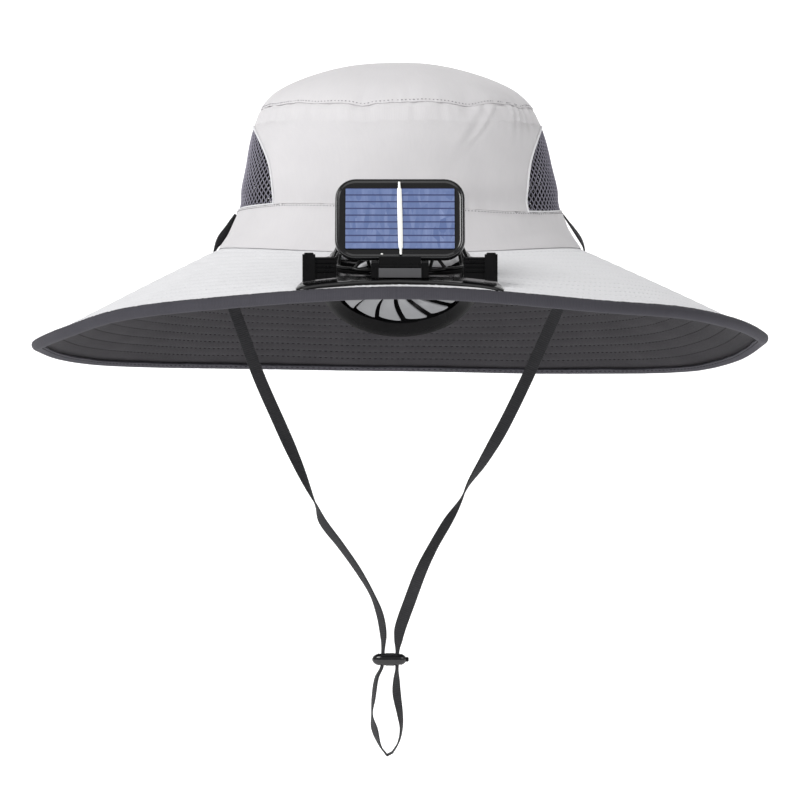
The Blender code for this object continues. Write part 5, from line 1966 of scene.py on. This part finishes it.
def busbar():
    low = PANEL_FORWARD - CELL_RECESS + 2 * GAP + 0.0007
    half = BUSBAR_HEIGHT / 2 + BUSBAR_TAIL
    # Share of half the length, half the width in metres
    profile = ((-1.0, 0.0005), (-0.84, 0.0006), (-0.80, 0.0010), (-0.5, 0.0011), (0.0, 0.00115),
               (0.5, 0.0011), (0.80, 0.0010), (0.84, 0.0006), (1.0, 0.0005))
    grid = []
    for along, half_width in profile:
        y = PANEL_MIDDLE + along * half
        shift = -0.0004 * along
        ring = []
        for x, z in ((-1, 0), (1, 0), (1, 0.6), (0.6, 1), (-0.6, 1), (-1, 0.6)):
            ring.append((shift + x * half_width, y, low + z * 0.0004))
        grid.append(ring)
    work = Workpiece()
    work.rows(in_panel_space(grid), ring=True, ends="face")
    drop = []
    for ring, height in ((0.0, 0.0005), (0.5, 0.00045), (0.85, 0.0003), (1.0, 0.0)):
        level = PANEL_FORWARD - 0.0008 + height
        edge = []
        for t in turns(12):
            x = -0.0085 + 0.0006 * ring * math.cos(t)
            y = PANEL_MIDDLE - half + 0.0006 + 0.0005 * ring * math.sin(t)
            edge.append((x, y, level))
        drop.append(edge)
    work.rows(in_panel_space(drop), ring=True, ends="face")
    return work.finish("busbar_strip", solder, ["busbar"], "panel", "solder")


busbar()

# %% [markdown]
# ## Studio
#
# The hat hangs in the air as it would on a head, so the floor lies well below the strap and curves up
# behind into a pale backdrop. The main soft light stands at the front left. Weaker ones from the right, from
# above and from below the brim, and a bright room, give the gentle shading of a product photo.

# %% Floor and backdrop
FLOOR_LEVEL = -0.46
PAPER_GLOW = 0.6


def backdrop():
    profile = [(-3.0, 0.0), (1.6, 0.0)]
    for step in range(1, 13):
        angle = math.pi / 2 * step / 12
        profile.append((1.6 + 1.2 * math.sin(angle), 1.2 - 1.2 * math.cos(angle)))
    profile.append((2.8, 4.5))
    mesh = bpy.data.meshes.new("backdrop")
    points = [(x, y, FLOOR_LEVEL + z) for y, z in profile for x in (-5.0, 5.0)]
    faces = [(2 * i, 2 * i + 1, 2 * i + 3, 2 * i + 2) for i in range(len(profile) - 1)]
    mesh.from_pydata(points, [], faces)
    mesh.shade_smooth()
    sheet = bpy.data.objects.new("backdrop", mesh)
    bpy.context.scene.collection.objects.link(sheet)
    paper = Finish("backdrop_paper", (0.93, 0.93, 0.93, 1.0), 0.9)
    paper.shader.inputs["Emission Color"].default_value = (1, 1, 1, 1)
    paper.shader.inputs["Emission Strength"].default_value = PAPER_GLOW
    mesh.materials.append(paper.material)


backdrop()

# %% Lights


def soft_box(name, place, size, power, aim=(0, -0.03, -0.02)):
    lamp = bpy.data.lights.new(name, "AREA")
    lamp.shape = "RECTANGLE"
    lamp.size = size[0]
    lamp.size_y = size[1]
    lamp.energy = power
    holder = bpy.data.objects.new(name, lamp)
    holder.location = place
    holder.rotation_mode = "QUATERNION"
    holder.rotation_quaternion = (Vector(aim) - Vector(place)).to_track_quat("-Z", "Y")
    bpy.context.scene.collection.objects.link(holder)


soft_box("key_light", (-1.2, -1.5, 1.2), (1.0, 1.0), 32)
soft_box("fill_light", (1.6, -1.2, 0.5), (0.8, 0.8), 4.5)
soft_box("top_light", (0.0, -0.3, 1.6), (1.2, 1.2), 4)
soft_box("low_light", (0.0, -1.3, -0.75), (0.12, 0.12), 0.4, (0, -0.15, -0.04))

ROOM_BRIGHTNESS = 0.385
world = bpy.data.worlds.new("room")
world.use_nodes = True
world.node_tree.nodes["Background"].inputs["Color"].default_value = (1.0, 1.0, 1.0, 1.0)
world.node_tree.nodes["Background"].inputs["Strength"].default_value = ROOM_BRIGHTNESS
bpy.context.scene.world = world
bpy.context.scene.view_settings.view_transform = "Standard"

# %% Camera
CAMERA_DISTANCE = 1.5
CAMERA_LEVEL = -0.0815
METRES_A_PIXEL = 0.00054
PHOTO_PIXELS = 800
camera_data = bpy.data.cameras.new("camera")
camera = bpy.data.objects.new("camera", camera_data)
camera.location = (0, -CAMERA_DISTANCE, CAMERA_LEVEL)
camera.rotation_euler = (math.pi / 2, 0, 0)
camera_data.lens = camera_data.sensor_width * CAMERA_DISTANCE / (METRES_A_PIXEL * PHOTO_PIXELS)
bpy.context.scene.collection.objects.link(camera)
bpy.context.scene.camera = camera
print("lens", round(camera_data.lens, 1), "mm")
